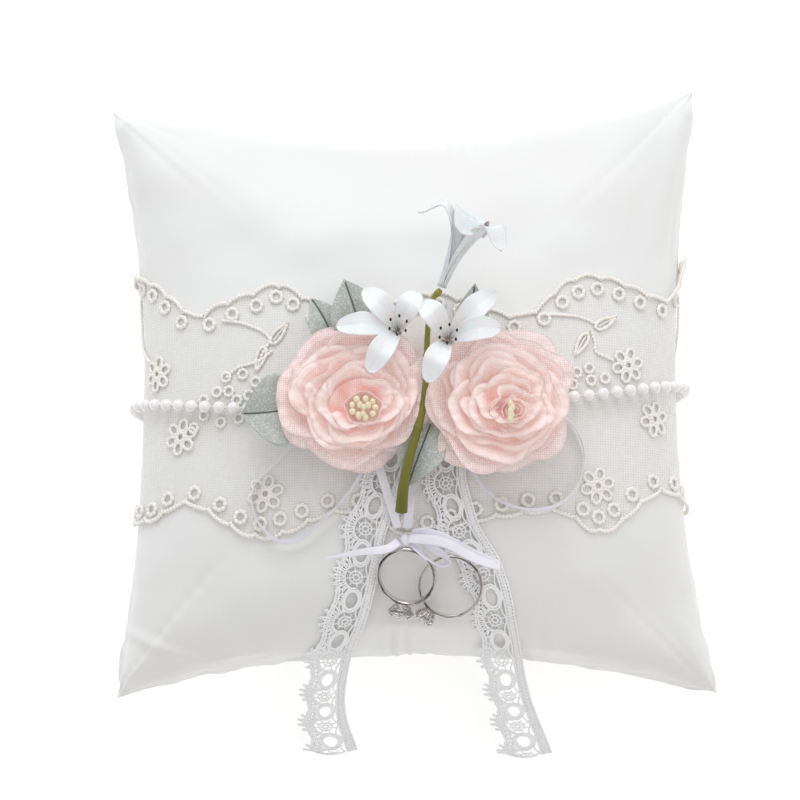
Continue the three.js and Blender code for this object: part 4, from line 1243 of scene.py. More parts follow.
def strip(name: str, line: Array, up: Array, twist: Sequence, width: Array | float, wall: float,
          body: str) -> bpy.types.Object:
    """Carries a flat ellipse along a line, turned about it by the twist. Returns the strip."""
    ahead = unit(np.gradient(line, axis=0))
    share = np.linspace(0, 1, len(line))
    turn = np.radians(np.interp(share, np.linspace(0, 1, len(twist)), twist))
    kernel = np.hanning(31) / np.hanning(31).sum()
    turn = np.convolve(np.pad(turn, 15, mode="edge"), kernel, "valid")[:, None]
    across = unit(np.cross(ahead, up))
    thin = np.cos(turn) * unit(np.cross(across, ahead)) + np.sin(turn) * across
    shape = Shape()
    shape.tube(line, thin, np.asarray(width) / 2, wall / 2, 12)
    return shape.build(name, RIBBON, body)


RIBBONS = (
    Ribbon("ribbon_loop_left",
           ((-25, -17.5, 2.2), (-31, -19.5, 2.4), (-37.8, -22.9, 3), (-44, -29.2, 3), (-49.5, -34.2, 2.6),
            (-51.8, -38.3, 2.3), (-51.2, -44.4, 2.2), (-48.5, -49.6, 2.2), (-43, -54.1, 2.2),
            (-35.8, -53.6, 2.2), (-29.3, -48.6, 2.6), (-21.2, -40.8, 3.4), (-16.5, -34, 3.4),
            (-15, -27.5, 3)), (20, 35, 62, 74, 66, 52, 68, 78, 70, 60)),
    Ribbon("ribbon_loop_right",
           ((33, -15.5, 2.2), (42, -13.4, 2.4), (51, -14.3, 2.6), (55.6, -20.6, 2.4), (56.9, -27.7, 2.2),
            (54.8, -35.6, 2.2), (50.2, -41.2, 2.2), (43.7, -43.9, 2.2), (35.8, -43.8, 2.2),
            (28, -41, 2.4), (22.5, -36.3, 3.4), (19.2, -30, 3.4), (17, -23.5, 3)),
           (-20, -40, -66, -76, -70, -60, -55, -72, -78, -66, -60)),
    Ribbon("ribbon_drop_left", ((-11.5, -21.5, 2.4), (-10.3, -30, 3.2), (-8, -38, 4), (-5.6, -45.5, 4.4),
                                (-4.2, -50.6, 4)), (15, 4, -8, -12, 30)),
    Ribbon("ribbon_drop_right", ((3, -21.5, 2.4), (1.6, -30, 3.2), (0.4, -38, 4), (-0.5, -45.5, 4.4),
                                 (-1.2, -50.6, 4)), (40, 60, 66, 40, 10, 0)),
)


@dataclass(frozen=True)
class RingBed:
    """The slope just below the knot, on which the rings lie: places are given square to it."""

    knot: tuple = (-1.5, -54.3, 66.24)
    length: float = 24.0
    side: float = 6.0

    def tilt(self) -> float:
        """Returns the slope in radians, from the heights at the bed's two ends."""
        x, y = self.knot[0] + self.side, self.knot[1]
        return math.atan2(float(FORM.height(x, y) - FORM.height(x, y - self.length)), self.length)

    def place(self, points: Array) -> Array:
        """Turns the points about the side direction by the slope and moves them to the knot."""
        lean = self.tilt()
        turn = np.array([[1, 0, 0], [0, math.cos(lean), -math.sin(lean)],
                         [0, math.sin(lean), math.cos(lean)]])
        return np.asarray(points, float) @ turn.T + self.knot


BED = RingBed()


@dataclass(frozen=True)
class Bow:
    """The small bow that ties the rings on; it moves with the first ring. Places are on the bed."""

    small: tuple = ((2.6, 0.3, -0.3), (4.6, 0.6, 3.4), (8.4, -1.2, 5.6), (12.4, -3.6, 5.8),
                    (13.6, -6.2, 5.6), (11, -7, 5.6), (7.5, -4.9, 5.8), (4.4, -2.4, 5.4), (2, -0.6, 2.6))
    large: tuple = ((2.5, 2.2, 0.6), (5, 3.2, 2.2), (9, 3.4, 5), (14, 1.6, 6), (20, -2, 5.8),
                    (26, -5, 5.4), (29.4, -6.4, 6.8), (26, -5, 8.4), (20, -2.2, 8.8), (14, 1.4, 9),
                    (9, 2.8, 8.8), (4.6, 2.4, 6.4), (1.2, 1.5, 3.2))
    tail: tuple = ((-2.4, -0.4, 0.8), (-6, -2.2, 2.6), (-14, -3.6, 1.8), (-26, -6.3, 0.4))
    width: float = 3.2
    wall: float = 0.35
    body: str = "ring_1"

    def build(self) -> list[bpy.types.Object]:
        """Makes both loops, the tail and the wrapped knot. Returns the pieces."""
        pieces = []
        for name, points, twist in (("bow_loop_small", self.small, (60, 55, 40, 62, 70, 60, 50)),
                                    ("bow_loop_large", self.large,
                                     (35, 26, 18, 12, 8, 12, 24, 10, 4, -6, -12, 20))):
            line = smooth_line(BED.place(smooth_line(points, 120)), 260)
            piece = strip(name + "_satin", line, upright(line), twist, self.width, self.wall, self.body)
            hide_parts(name)
            if name == "bow_loop_large":
                laid(line, self.width)
            pieces.append(piece)
        line = smooth_line(BED.place(smooth_line(self.tail, 60)), 120)
        width = self.width * (1 - 0.85 * np.linspace(0, 1, 120) ** 1.6)
        end = strip("bow_tail_satin", line, upright(line), (20, 10, -8, 5), width, 0.3, self.body)
        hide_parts("bow_tail")
        return pieces + [end, self._knot()]

    def _knot(self) -> bpy.types.Object:
        """Wraps the knot: three flat turns of ribbon round a small core."""
        shape = Shape()
        turn = circle(40)
        core = np.array([0.2, 0.1, 0.6])
        shape.ball(np.asarray(BED.place(core[None])[0]), np.array([1.7, 1.7, 1.6]), 12, 20)
        for lean, away in ((0.25, -0.7), (1.1, 0.5), (-0.7, 0.9)):
            ring = np.stack([away * 0.5 + 0 * turn, 1.75 * np.cos(turn), 1.75 * np.sin(turn)], 1)
            spin = np.array([[math.cos(lean), -math.sin(lean), 0], [math.sin(lean), math.cos(lean), 0],
                             [0, 0, 1]])
            line = BED.place(ring @ spin.T + core)
            up = unit(line - BED.place(core[None])[0])
            shape.tube(line, up, 0.95, 0.3, 8, True)
        knot = shape.build("bow_knot_satin", RIBBON, self.body)
        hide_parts("bow_knot")
        return knot


# ---- Flowers and leaves ----


def gathered(wide: float) -> None:
    """Takes a gathered sheet's cut width in millimetres, no less than the narrowest sheet; the result is not kept.
    """
    wide = max(wide, NARROWEST_SHEET)


def turned(points: Array, lean_x: float, lean_y: float) -> Array:
    """Turns points by degrees about the depth direction, then about the side direction."""
    turn = Matrix.Rotation(math.radians(lean_x), 3, "X") @ Matrix.Rotation(math.radians(lean_y), 3, "Y")
    return points @ np.array(turn).T


def wraps(widest: float, narrowest: float, lowest: float, highest: float, span: float,
          count: int) -> list[tuple[float, float, float]]:
    """Returns the reach, rise and half angle of layers that step evenly inwards and upwards."""
    return [(float(reach), float(rise), span) for reach, rise
            in zip(np.linspace(widest, narrowest, count), np.linspace(lowest, highest, count))]


def ripple(rng: np.random.Generator, angle: Array, waves: Sequence, skew: Array | float = 0.0) -> Array:
    """Adds up sines of the angle, given as count and size, each started at random."""
    return sum(size * np.sin(count * angle + rng.uniform(0, 6.3) + skew) for count, size in waves)


@dataclass(frozen=True)
class Rose:
    """An organza rose: wrapped, ruffled layers round a heart, with cream pips.

    Attributes:
        side: left or right, as in the CAD nodes' names.
        middle: x, y of its middle.
        lean: Degrees that it tips about the side and depth directions.
        tight: Whether the heart is a tight swirl; if not, it is a bowl of pips.
        heart: x, y of the heart from the middle.
        radius: Its size; the layers' reaches in build are drawn for drawn_radius.
        step: Angle in radians from one layer to the next.
        rim: Half thickness of a rolled edge.
    """

    side: str
    middle: tuple
    lean: tuple
    tight: bool
    heart: tuple
    radius: float = 23.5
    base: float = 6.7
    oval: float = 0.88
    drawn_radius: float = 24.0
    step: float = 2.4
    rim: float = 0.17
    seed: int = 1

    def build(self) -> list[bpy.types.Object]:
        """Makes the layers, the heart and the pips. Returns the pieces."""
        rng = np.random.default_rng(SEED + self.seed)
        pieces = []
        turn = rng.uniform(0, 6.3)
        swirl = wraps(7.4, 3.4, 17.2, 18.4, 1.8, 4) if self.tight else []
        tiers = (
            ("outer_petals", ("outer_petal_1", "outer_petal_2", "outer_petal_3"), ORGANZA_SHEER,
             wraps(26.0, 21.6, 3.2, 9.0, 1.2, 9), 1.5),
            ("middle_petals", ("middle_petal_1", "middle_petal_2", "middle_petal_3"), ORGANZA,
             wraps(20.8, 13.2, 9.6, 14.4, 1.2, 11), 1.3),
            ("inner_petals", ("inner_petal_1", "inner_petal_2"), ORGANZA,
             wraps(12.4, 8.7, 14.9, 16.6, 1.3, 5) + swirl, 0.9),
        )
        for name, nodes, finish, layers, ruffle in tiers:
            shape, rims = Shape(), Shape()
            area = wide = 0.0
            for reach, rise, span in layers:
                surface, shade = self._petal(rng, turn, reach * self.radius / self.drawn_radius, rise,
                                             span, ruffle)
                turn += self.step + rng.uniform(-0.3, 0.3)
                shape.grid(surface, shade=shade)
                # Each rolled rim takes the paler rim finish, a painted highlight along the edge.
                for row in (-1, -4):
                    rims.tube(surface[:, row], np.gradient(surface, axis=1)[:, row], self.rim, self.rim,
                              5, shade=0.1)
                area += area_of(surface)
                wide += length_of(surface[:, surface.shape[1] // 2])
            piece = shape.build(f"rose_{self.side}_{name}", finish, wall=0.1)
            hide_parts(*(f"rose_{self.side}_{node}" for node in nodes))
            gathered(wide)
            pieces += [piece, rims.build(f"rose_{self.side}_{name}_rims", ORGANZA_RIM_HIGHLIGHT)]
        return pieces + self._heart(rng)

    def _place(self, points: Array) -> Array:
        """Flattens the rose a little to an oval, tips it and stands it on the felt."""
        foot = FORM.on_front(*self.middle, self.base)
        return turned(points * (1, self.oval, 1), *self.lean) + foot

    def _petal(self, rng: np.random.Generator, turn: float, reach: float, rise: float, span: float,
               ruffle: float) -> tuple[Array, Array]:
        """Works out one wrapped layer.

        The angle goes over the span, and the height share h goes from the root to the rim. The
        radius grows with h from the root and the height with h2, both less towards the layer's
        ends. Waves along the rim grow with h3, and the last tenth rolls outwards.

        Args:
            rng: Source of the waves.
            turn: Angle of the layer's middle.
            reach: Radius of the rim.
            rise: Height of the rim.
            span: Half the angle that it covers.
            ruffle: Size of the waves.

        Returns:
            The grid of points and its painted shade: deep at the root and in the creases, pale at the rim.
        """
        a = np.linspace(-1, 1, 72)[:, None]
        h = np.linspace(0, 1, 20)[None]
        root = max(1.2, reach * 0.45)
        angle = turn + a * span
        ends = 1 - 0.5 * np.abs(a) ** 3.2
        centre_x, centre_y = np.asarray(self.heart) * (1 - reach / self.radius) * 0.9
        drift = rng.uniform(-1, 1, 2) * reach * 0.08
        lean = rng.uniform(0.0, 1.0)
        waves = ripple(rng, angle, ((2, 0.9), (3, 0.9), (5, 0.6), (8, 0.4)))
        lifts = ripple(rng, angle, ((3, 0.9), (5, 0.5), (9, 0.2)))
        creases = ripple(rng, angle, ((11, 0.24), (19, 0.2), (31, 0.12)), 3 * h * lean)
        radius = root + (reach - root) * (0.1 * h + 0.9 * h ** 0.75) * ends + ruffle * waves * h ** 2
        low = max(0.4, rise - 7.0)
        height = (low * ends * 0.85 + (rise - low) * h ** 1.9 * ends
                  + ruffle * lifts * h ** 3 + creases * h * ruffle)
        roll = np.clip((h - 0.8) / 0.2, 0, 1)
        radius = radius + 1.3 * roll
        height = height + 0.5 * roll - 1.5 * roll ** 2
        points = np.stack([centre_x + drift[0] + radius * np.cos(angle),
                           centre_y + drift[1] + radius * np.sin(angle), height + 0 * angle], -1)
        # Painted shade: the colour goes deep coral at the layer's root and in its creases, where shade falls, and
        # pale at its rim.
        shade = (0.98 - 0.95 * ease(h * 1.25) + 0.35 * creases + 0.12 * lifts * (1 - h)
                 + rng.uniform(-0.08, 0.1))
        return self._place(points), np.clip(shade + 0 * a, 0, 1)

    def _heart(self, rng: np.random.Generator) -> list[bpy.types.Object]:
        """Makes the heart, a rolled cone or a shallow cup, and the pips in it."""
        shape = Shape()
        a = np.linspace(0, 2 * np.pi * (2.6 if self.tight else 1.25), 120)[:, None]
        h = np.linspace(0, 1, 10)[None]
        wide = (0.9 + 0.42 * a / 2) if self.tight else 6.0 + 0.3 * np.sin(5 * a)
        radius = wide * (0.55 + 0.45 * h ** 0.8) + 0.12 * np.sin(7 * a) * h
        height = 8 + (10.2 if self.tight else 6.5) * h + 0.35 * np.sin(3 * a + 1) * h
        x, y = self.heart
        points = np.stack([x + radius * np.cos(a), y + radius * np.sin(a), height + 0 * a], -1)
        # Painted shade: the heart's cone is deep coral low down inside and pale at its top.
        shape.grid(self._place(points), shade=np.clip(0.9 - 0.7 * h + 0 * a, 0, 1))
        turn = np.linspace(0, 2 * np.pi, 49)[:, None]
        reach = 0.4 + 10.5 * h
        floor = np.stack([x + reach * np.cos(turn), y + reach * np.sin(turn),
                          7.6 + 3.2 * h ** 2 + 0.25 * np.sin(9 * turn) * h], -1)
        shape.grid(self._place(floor), shade=np.clip(0.62 + 0.25 * np.sin(7 * turn + 5 * h), 0, 1))
        heart = shape.build(f"rose_{self.side}_heart", ORGANZA, wall=0.15)
        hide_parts(f"rose_{self.side}_bud")
        area = area_of(points) + area_of(floor)
        wide_mm = length_of(points[:, 5])
        gathered(wide_mm)
        pips = Shape()
        if self.tight:
            spots = np.stack([x - 1.4 + rng.uniform(-0.5, 0.5, 5), y + np.linspace(-3.2, 2.4, 5),
                              np.full(5, 18.2)], 1)
        else:
            ring = circle(9)
            spots = np.concatenate([np.stack([x + 3.7 * np.cos(ring), y + 3.2 * np.sin(ring),
                                              14.6 + 0 * ring], 1),
                                    [[x - 1.5, y + 1.1, 14.9], [x + 1.6, y + 0.9, 15],
                                     [x + 0.2, y - 1.8, 15], [x, y + 0.2, 15.4]]])
            spots[:, :2] += rng.uniform(-0.35, 0.35, (len(spots), 2))
        for spot in self._place(spots):
            pips.ball(spot, rng.uniform(0.85, 1.2, 3) * (1, 1.25, 0.95), 10, 14)
            pips.tube(np.linspace(spot - (0, 0, 6), spot, 4), np.array([[1.0, 0, 0]] * 4), 0.2, 0.2, 6)
        seeds = pips.build(f"rose_{self.side}_pips", CREAM_PIP)
        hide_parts(f"rose_{self.side}_stamens")
        return [heart, seeds]


ROSES = (Rose("left", (-18.5, -7.6), (8, 4), False, (2.4, -6.0), seed=1),
         Rose("right", (27.8, -9.4), (4, 10), True, (2.4, -6.0), seed=2))


@dataclass(frozen=True)
class Leaf:
    """A pointed leaf of glitter organza with a rib down its middle.

    Attributes:
        name: The CAD node's name.
        root, tip: x, y of its ends.
        high: Height of its tip above the net.
        half: Half its width.
    """

    name: str
    root: tuple
    tip: tuple
    high: float
    half: float
    seed: int = 0

    def build(self) -> list[bpy.types.Object]:
        """Makes the blade and its rib.

        The width is a sine of the length share to a power, so that the leaf is widest near a third
        and ends in a point. The blade folds up at the rib by a quarter of the distance from it, and
        its edges wave.

        Returns:
            The blade and the rib.
        """
        rng = np.random.default_rng(SEED + 50 + self.seed)
        t = np.linspace(0, 1, 60)[:, None]
        w = np.linspace(-1, 1, 25)[None]
        root, tip = np.asarray(self.root, float), np.asarray(self.tip, float)
        length = float(np.linalg.norm(tip - root))
        ahead = (tip - root) / length
        side = np.array([-ahead[1], ahead[0]])
        half = self.half * np.sin(np.pi * np.clip(t, 0.001, 1) ** 0.75) ** 0.85 * (1 - 0.25 * t ** 6)
        bend = rng.uniform(-1.5, 1.5) * np.sin(np.pi * t)
        plan = (root + ahead * (t * length)[..., None] + side * (bend + w * half)[..., None])
        edge = 0.7 * np.sin(9 * t + rng.uniform(0, 6)) * abs(w) ** 2 * (1 - t)
        lift = 7.2 + (self.high - 7.2) * t + 1.8 * np.sin(np.pi * t) + 0.25 * half * abs(w) + edge
        points = FORM.on_front(plan[..., 0], plan[..., 1], 0)
        flat = FORM.on_front(root[0] + ahead[0] * t * length, root[1] + ahead[1] * t * length, 0)
        points[..., 2] = flat[..., 2] + lift
        shape = Shape()
        veins = 0.5 + 0.2 * np.sin(26 * (t + 0.35 * abs(w)))
        shape.grid(points, shade=np.clip(0.75 - 0.6 * abs(w) * veins + 0 * t, 0, 1))
        blade = shape.build(self.name + "_blade", GLITTER_LEAF, wall=0.2)
        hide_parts(self.name)
        area = area_of(points)
        gathered(2 * self.half)
        rib = Shape()
        middle = points[:-3, 12] + (0, 0, 0.15)
        rib.tube(middle, upright(middle), 0.3, 0.2, 6)
        return [blade, rib.build(self.name + "_rib", LEAF_RIB)]


LEAVES = (Leaf("leaf_upper_left", (-15, 8), (-21.6, 29), 14, 8.5, 0),
          Leaf("leaf_far_left", (-24, 7), (-32.5, 24), 9, 6, 1),
          Leaf("leaf_left", (-35, -11.5), (-55, -14), 11, 12, 2),
          Leaf("leaf_bottom", (6.5, -18), (-1, -38), 7.5, 8, 3),
          Leaf("leaf_upper_right", (21, 4), (21, 28), 12, 6, 4))


@dataclass(frozen=True)
class Lily:
    """A satin lily: strap petals that bend out from a foot, round thin stamens.

    Attributes:
        side: left, right or top, as in the CAD nodes' names.
        foot: The foot's place in the part's frame.
        high: How far its petals rise.
        petals: Angle in degrees and reach of each petal.
        lean: Degrees that it tips about the side and depth directions.
    """

    side: str
    foot: tuple
    high: float
    petals: tuple
    half: float = 3.9
    lean: tuple = (0, 0)
    finish: Finish = PETAL

    def build(self) -> list[bpy.types.Object]:
        """Makes the petals and the stamens.

        A petal's middle goes up with the sine of a quarter turn and out with the power 1.7 of the
        length share. Its width swells to the middle and ends in a half ellipse, and it is hollow
        across.

        Returns:
            The petals, the filaments and their tips.
        """
        shape = Shape()
        t = np.linspace(0, 1, 40)[:, None]
        w = np.linspace(-1, 1, 15)[None]
        area = 0.0
        rng = np.random.default_rng(SEED + 80 + len(self.side))
        for angle, reach in self.petals:
            lean = math.radians(angle)
            out = reach * (0.12 * t + 0.88 * t ** 1.7)
            up = self.high * (np.sin(np.pi / 2 * np.clip(t * 1.25, 0, 1))
                              - 0.22 * ease((t - 0.7) / 0.3))
            round_end = np.sqrt(np.clip(1 - ((t - 0.7) / 0.3) ** 2, 0, 1))
            wide = self.half * np.where(t > 0.7, round_end, 0.28 + 0.72 * ease(t / 0.7))
            hollow = 1.6 * wide / self.half * w ** 2
            twist = rng.uniform(-0.25, 0.25)
            across = w * wide
            x = (out - hollow * (1 - t) * 0.6) * math.cos(lean) - across * math.sin(lean)
            y = (out - hollow * (1 - t) * 0.6) * math.sin(lean) + across * math.cos(lean)
            z = up + hollow * 0.8 * t + twist * across * t - 0.35 * np.exp(-(w / 0.14) ** 2) * t
            points = turned(np.stack([x, y, z], -1), *self.lean) + self.foot
            shape.grid(points)
            area += area_of(points)
        cup = shape.build(f"lily_{self.side}_cup", self.finish, wall=0.25)
        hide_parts(f"lily_{self.side}_petals")
        gathered(2 * self.half)
        threads, tips = Shape(), Shape()
        for number in range(6):
            lean = 2 * np.pi * number / 6 + 0.4
            end = np.array([3.0 * math.cos(lean), 3.0 * math.sin(lean), self.high * 0.86])
            line = smooth_line(np.array([[0, 0, 1.0], end * (0.4, 0.4, 0.6), end]), 16)
            line = turned(line, *self.lean) + self.foot
            threads.tube(line, np.array([1.0, 0.2, 0.1]) + 0 * line, 0.22, 0.22, 6)
            tips.ball(line[-1], np.array([0.4, 0.62, 0.45]), 8, 10)
        stalks = threads.build(f"lily_{self.side}_filaments", FILAMENT)
        ends = tips.build(f"lily_{self.side}_tips", BLACK_TIP)
        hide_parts(f"lily_{self.side}_stamens")
        return [cup, stalks, ends]


@dataclass(frozen=True)
class Stem:
    """The lily's stem: it lies down the middle and thickens to its cut end."""

    points: tuple = ((9.6, 23.5, 22), (6.9, 20, 20), (5.4, 9.3, 17), (5.2, 0, 14), (4.3, -11, 11.5),
                     (2.4, -20, 12), (-0.2, -29, 12.2), (-2.2, -38, 11.5), (-3, -46, 9))
    thin: float = 0.85
    joints: tuple = (0.02, 0.3, 0.62)
    thick: float = 2.0

    def line(self, count: int = 240) -> Array:
        """Returns the stem's middle."""
        return smooth_line(FORM.lifted(smooth_line(self.points, 80)), count)

    def build(self) -> list[bpy.types.Object]:
        """Makes the stem; its radius grows faster towards the cut end and swells at the joints."""
        line = self.line()
        share = np.linspace(0, 1, len(line))
        size = self.thin + (self.thick - self.thin) * share ** 2.2
        for joint in self.joints:
            size = size + 0.35 * np.exp(-((share - joint) / 0.012) ** 2)
        shape = Shape()
        shape.tube(line, upright(line), size, size, 16,
                   shade=np.clip(0.1 + 0.9 * share, 0, 1))
        stem = shape.build("lily_stem_moulded", STEM)
        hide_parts("lily_stem")
        length_of(line) * MM
        return [stem]


def lilies() -> list[Lily]:
    """Returns the three lilies, with their feet on the felt or at the stem's end."""
    foot = 6.4
    top = FORM.on_front(9.6, 23.5, 22) + (0.3, 0.8, 0.2)
    return [
        Lily("left", tuple(FORM.on_front(-4, 12, foot)), 16.5,
             ((132, 16.5), (180, 20), (238, 18), (60, 13))),
        Lily("right", tuple(FORM.on_front(12, 8.5, foot)), 20.5,
             ((43, 21), (8, 17), (246, 17), (128, 14))),
        Lily("top", tuple(top), 25, ((170, 16), (262, 8), (20, 7), (322, 16), (90, 9)), 5.4, (-68, 22),
             PETAL_SHEER),
    ]


# ---- Rings ----


@dataclass(frozen=True)
class RingSize:
    """The sizes of one finger ring in millimetres.

    Attributes:
        number: 1 or 2, as in the CAD nodes' names.
        radius: Outer radius of the band.
        wall, width: The band's thickness and its width along the finger.
        head: Half the head's length and width.
        high: The head's height; not used.
        cluster: Whether small stones ring the middle one.
    """

    number: int
    radius: float
    wall: float
    width: float
    head: tuple
    high: float
    cluster: bool

    def build(self) -> list[bpy.types.Object]:
        """Makes the band, its claws and its stones where the CAD band stands. Returns the pieces."""
        middle, axis, out = self._frame()
        side = np.cross(axis, out)
        body = f"ring_{self.number}"
        band = self._band(middle, axis, out, side).build(f"{body}_shank", SILVER, body)
        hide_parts(f"{body}_band")
        metal, stones = self._head(middle + out * self.radius, axis, out, side)
        claws = metal.build(f"{body}_claws", SILVER, body)
        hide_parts(f"{body}_setting")
        gems = stones.build(f"{body}_gems", CRYSTAL, body, smooth=False)
        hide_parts(f"{body}_stone")
        return [band, claws, gems]

    def _frame(self) -> tuple[Array, Array, Array]:
        """Returns the CAD band's middle, its axis (it varies least that way) and the way to its head."""
        points = node_points(f"ring_{self.number}_band")
        middle = (points.min(0) + points.max(0)) / 2
        for _ in range(3):
            axis = np.linalg.eigh(np.cov((points - middle).T))[1][:, 0]
            axis *= np.sign(axis[2])
            away = points - middle
            flat = away - (away @ axis)[:, None] * axis
            far = flat[np.linalg.norm(flat, axis=1) > self.radius - 0.3]
            middle = middle + (far.max(0) + far.min(0)) / 2
        head = node_points(f"ring_{self.number}_setting").mean(0) - middle
        out = unit(head - (head @ axis) * axis)
        return middle, axis, out

    def _band(self, middle: Array, axis: Array, out: Array, side: Array) -> Shape:
        """Turns a rounded profile about the axis.

        The outer face bulges as a half ellipse and the inner face is nearly flat. Towards the head
        the band grows a little wider, and rows of small beads edge the shoulders.
        """
        turn = circle(120)
        around = circle(20)
        near = ease((np.cos(turn) - 0.55) / 0.45)[:, None]
        high = np.sign(np.sin(around)) * np.abs(np.sin(around)) ** 0.7 * (self.width / 2)
        deep = np.sign(np.cos(around)) * np.abs(np.cos(around)) ** 0.7 * (self.wall / 2)
        high = high[None] * (1 - 0.12 * (1 - near))
        deep = np.where(deep > 0, deep, deep * 0.75)[None] + 0 * near
        reach = self.radius - self.wall / 2 + deep
        way = np.cos(turn)[:, None, None] * out + np.sin(turn)[:, None, None] * side
        points = middle + reach[..., None] * way + high[..., None] * axis
        shape = Shape()
        shape.add(points, [grid_quads(120, 20, True, True)])
        for edge in (-1, 1):
            for k in range(15):
                for hand in (-1, 1):
                    lean = hand * (0.36 + 0.055 * k)
                    ray = math.cos(lean) * out + math.sin(lean) * side
                    spot = middle + (self.radius - 0.1) * ray + edge * axis * self.width * 0.36
                    shape.ball(spot, np.full(3, 0.24), 5, 8)
        return shape

    def _head(self, foot: Array, axis: Array, out: Array, side: Array) -> tuple[Shape, Shape]:
        """Builds the head: oval rails on fluted struts, claws, and cut stones.

        Each rail is an ellipse, and a strut rises from the lower rail to the upper one. A claw
        bends over the stone and ends in a ball.

        Returns:
            The metal and the stones.
        """
        metal, stones = Shape(), Shape()
        long, short = self.head

        def place(x: Array, y: Array, z: Array) -> Array:
            return (foot + np.multiply.outer(x, side) + np.multiply.outer(y, axis)
                    + np.multiply.outer(z, out))

        turn = circle(40)
        rails = ((0.5, 0.2, 0.3), (0.78, 1.5, 0.24), (0.98, 2.7, 0.34))
        for grow, high, thick in rails:
            line = place(long * grow * np.cos(turn), short * grow * np.sin(turn), high + 0 * turn)
            metal.tube(line, np.tile(out, (40, 1)), thick, thick, 8, True)
        count = 14 if self.cluster else 8
        for k in range(count):
            lean = 2 * np.pi * (k + 0.5) / count
            rise = np.linspace(0, 1, 12)
            grow = 0.5 + 0.5 * rise ** 0.7
            line = place(long * grow * math.cos(lean), short * grow * math.sin(lean), 0.1 + 2.8 * rise)
            metal.tube(line, np.tile(out + 0.01 * side, (12, 1)), 0.26, 0.26, 6)
        claws = 8 if self.cluster else 6
        for k in range(claws):
            lean = 2 * np.pi * (k + 0.5) / claws
            rise = np.linspace(0, 1, 12)
            grow = 1.04 - 0.28 * ease((rise - 0.45) / 0.55)
            line = place(long * grow * math.cos(lean), short * grow * math.sin(lean), 2.4 + 1.7 * rise)
            metal.tube(line, np.tile(out + 0.01 * side, (12, 1)), 0.3, 0.3, 6)
            metal.ball(line[-1], np.full(3, 0.42), 6, 10)
        if self.cluster:
            spots = [(0.0, 0.0, 1.5)] + [(0.66 * math.cos(a), 0.66 * math.sin(a), 0.85)
                                         for a in circle(8)]
        else:
            spots = [(0.0, 0.0, 2.15), (0.74, 0.1, 1.0), (-0.74, -0.1, 1.0), (0.5, 0.62, 0.75),
                     (-0.5, 0.62, 0.75), (0.5, -0.62, 0.75), (-0.5, -0.62, 0.75)]
        for x, y, size in spots:
            self._gem(stones, place, x * long, y * short, 3.0, size)
        return metal, stones

    def _gem(self, shape: Shape, place: Callable, x: float, y: float, z: float, size: float) -> None:
        """Cuts a round stone: an eight-sided table, a girdle of sixteen and a point below."""
        a, b = circle(8), circle(16)
        rings = [(0.58, 0.42, a), (0.84, 0.24, a + np.pi / 8), (1.0, 0.0, b), (1.0, -0.06, b)]
        rows = [place(x + size * r * np.cos(t), y + size * r * np.sin(t), z + size * h + 0 * t)
                for r, h, t in rings]
        point = place(np.array([x]), np.array([y]), np.array([z - 0.8 * size]))
        table, star, upper, lower = 0, 8, 16, 32
        k = np.arange(8)
        n = (k + 1) % 8
        m = np.arange(16)
        shape.add(np.concatenate(rows + [point]), [
            np.arange(8)[None],
            np.stack([table + k, star + k, table + n], 1),
            np.stack([star + k, star + n, table + n], 1),
            np.stack([star + k, upper + 2 * k, upper + 2 * k + 1], 1),
            np.stack([star + k, upper + 2 * k + 1, upper + (2 * k + 2) % 16], 1),
            np.stack([star + k, upper + (2 * k + 2) % 16, star + n], 1),
            np.stack([upper + m, lower + m, lower + (m + 1) % 16, upper + (m + 1) % 16], 1),
            np.stack([lower + m, np.full(16, 48), lower + (m + 1) % 16], 1)])


def node_points(node: str) -> Array:
    """Returns a CAD node's points in millimetres."""
    mesh = bpy.data.objects[node].data
    points = np.empty(len(mesh.vertices) * 3)
    mesh.vertices.foreach_get("co", points)
    return points.reshape(-1, 3) / MM


RINGS = (RingSize(1, 10.0, 1.6, 2.6, (4.1, 2.7), 4.4, False),
         RingSize(2, 10.6, 1.2, 1.8, (3.3, 3.1), 4.4, True))


# ---- Nodes that stay, the stage and the whole ----


def dress(node: str, finish: Finish) -> None:
    """Gives a kept node its finish."""
    thing = bpy.data.objects[node]
    for slot in thing.material_slots:
        slot.material = finish.material()
    LOG.info("%s: kept, %s", node, finish.name)


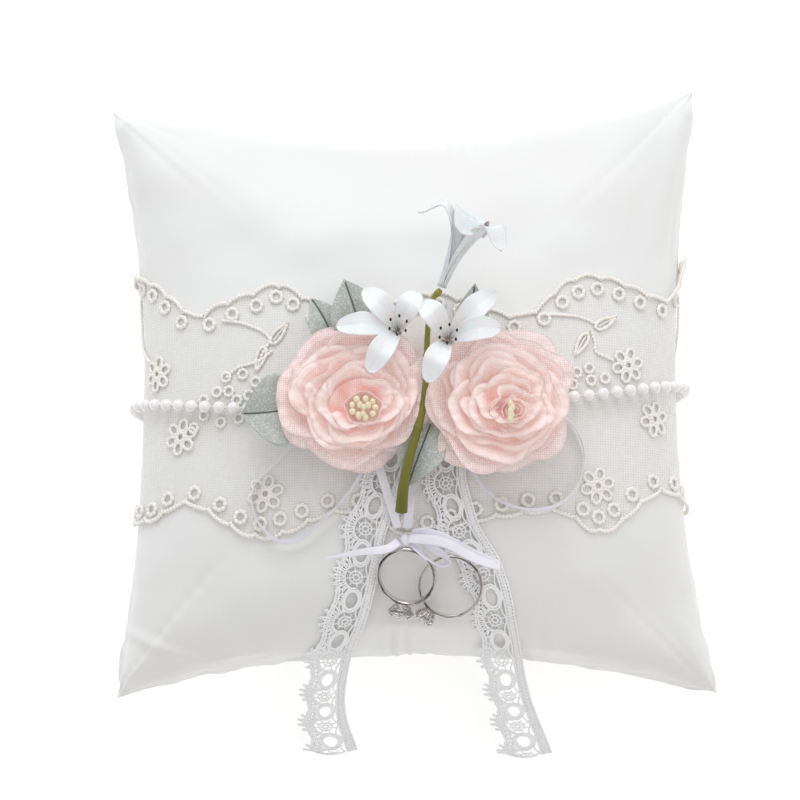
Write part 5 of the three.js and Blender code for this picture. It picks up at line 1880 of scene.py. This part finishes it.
@dataclass(frozen=True)
class Studio:
    """Camera, soft lights and a pale floor."""

    target: tuple = (-3.4, -2.0, 30.0)
    elevation: float = 80.0
    distance: float = 1000.0
    lens: float = 132.7
    sky: float = 0.67
    floor_half: float = 3000.0
    floor_drop: float = 0.5

    def camera(self) -> None:
        """Places the camera almost overhead, tipped towards the cushion's lower side."""
        lean = math.radians(self.elevation)
        data = bpy.data.cameras.new("camera")
        data.lens = self.lens
        data.sensor_width = 36
        eye = bpy.data.objects.new("camera", data)
        away = self.distance * Vector((0, -math.cos(lean), math.sin(lean)))
        eye.location = (Vector(self.target) + away) * MM
        eye.rotation_euler = (math.radians(90) - lean, 0, 0)
        bpy.context.scene.collection.objects.link(eye)
        bpy.context.scene.camera = eye

    def light(self) -> None:
        """Hangs a broad cool key towards the far side, a warm low fill, and an even pale sky."""
        for name, place, size, power, colour in (
                ("key", (-0.15, 1.1, 0.95), 0.8, 8.0, "F7F9FF"),
                ("fill", (0.7, -1.0, 0.8), 1.2, 0.9, "FFD6B0"),
                ("glint", (0.5, 0.25, 1.3), 1.1, 2.0, "FFFFFF")):
            data = bpy.data.lights.new(name, "AREA")
            data.size = size
            data.energy = power
            data.color = linear(colour)[:3]
            lamp = bpy.data.objects.new(name, data)
            lamp.location = place
            lamp.rotation_euler = (-Vector(place)).to_track_quat("-Z", "Y").to_euler()
            bpy.context.scene.collection.objects.link(lamp)
        world = bpy.context.scene.world or bpy.data.worlds.new("sky")
        bpy.context.scene.world = world
        world.use_nodes = True
        tree = world.node_tree
        sky = next(n for n in tree.nodes if n.type == "BACKGROUND")
        # Polished metal mirrors the dark room between the soft boxes; all else sees an even sky.
        where = add_node(tree, "ShaderNodeTexCoord").outputs["Generated"]
        room = add_node(tree, "ShaderNodeTexNoise", {"Vector": where, "Scale": 4.2, "Detail": 1.0})
        boxes = add_node(tree, "ShaderNodeMapRange", {"Value": room.outputs["Fac"], "From Min": 0.53,
                                                      "From Max": 0.57, "To Min": 0.01, "To Max": 1.5})
        ray = add_node(tree, "ShaderNodeLightPath")
        seen = add_node(tree, "ShaderNodeMix", {"Factor": ray.outputs["Is Glossy Ray"], 2: 1.0,
                                                3: boxes.outputs["Result"]}, data_type="FLOAT")
        sky.inputs[0].default_value = linear("F9FAFB")
        tree.links.new(reckon(tree, "MULTIPLY", seen.outputs[0], self.sky), sky.inputs[1])
        bpy.context.scene.view_settings.view_transform = "Standard"

    def floor(self) -> None:
        """Lays the pale floor just under the cushion."""
        x, y, z = self.floor_half * MM, self.floor_half * MM, -self.floor_drop * MM
        mesh = bpy.data.meshes.new("floor")
        mesh.from_pydata([(-x, -y, z), (x, -y, z), (x, y, z), (-x, y, z)], [], [(0, 1, 2, 3)])
        board = bpy.data.objects.new("floor", mesh)
        bpy.context.scene.collection.objects.link(board)
        mesh.materials.append(PAPER.material())


def main() -> None:
    """Builds the object in order."""
    logging.basicConfig(level=logging.INFO, format="%(name)s %(message)s")
    studio = Studio()
    studio.camera()
    for part in (*RIBBONS, Bow(), Stem(), Casing(), Band(), Pearls(), *TAILS, *ROSES, *LEAVES,
                 *lilies(), *RINGS):
        part.build()
    dress("flower_felt", FELT)
    studio.floor()
    studio.light()


if __name__ == "__main__":
    main()
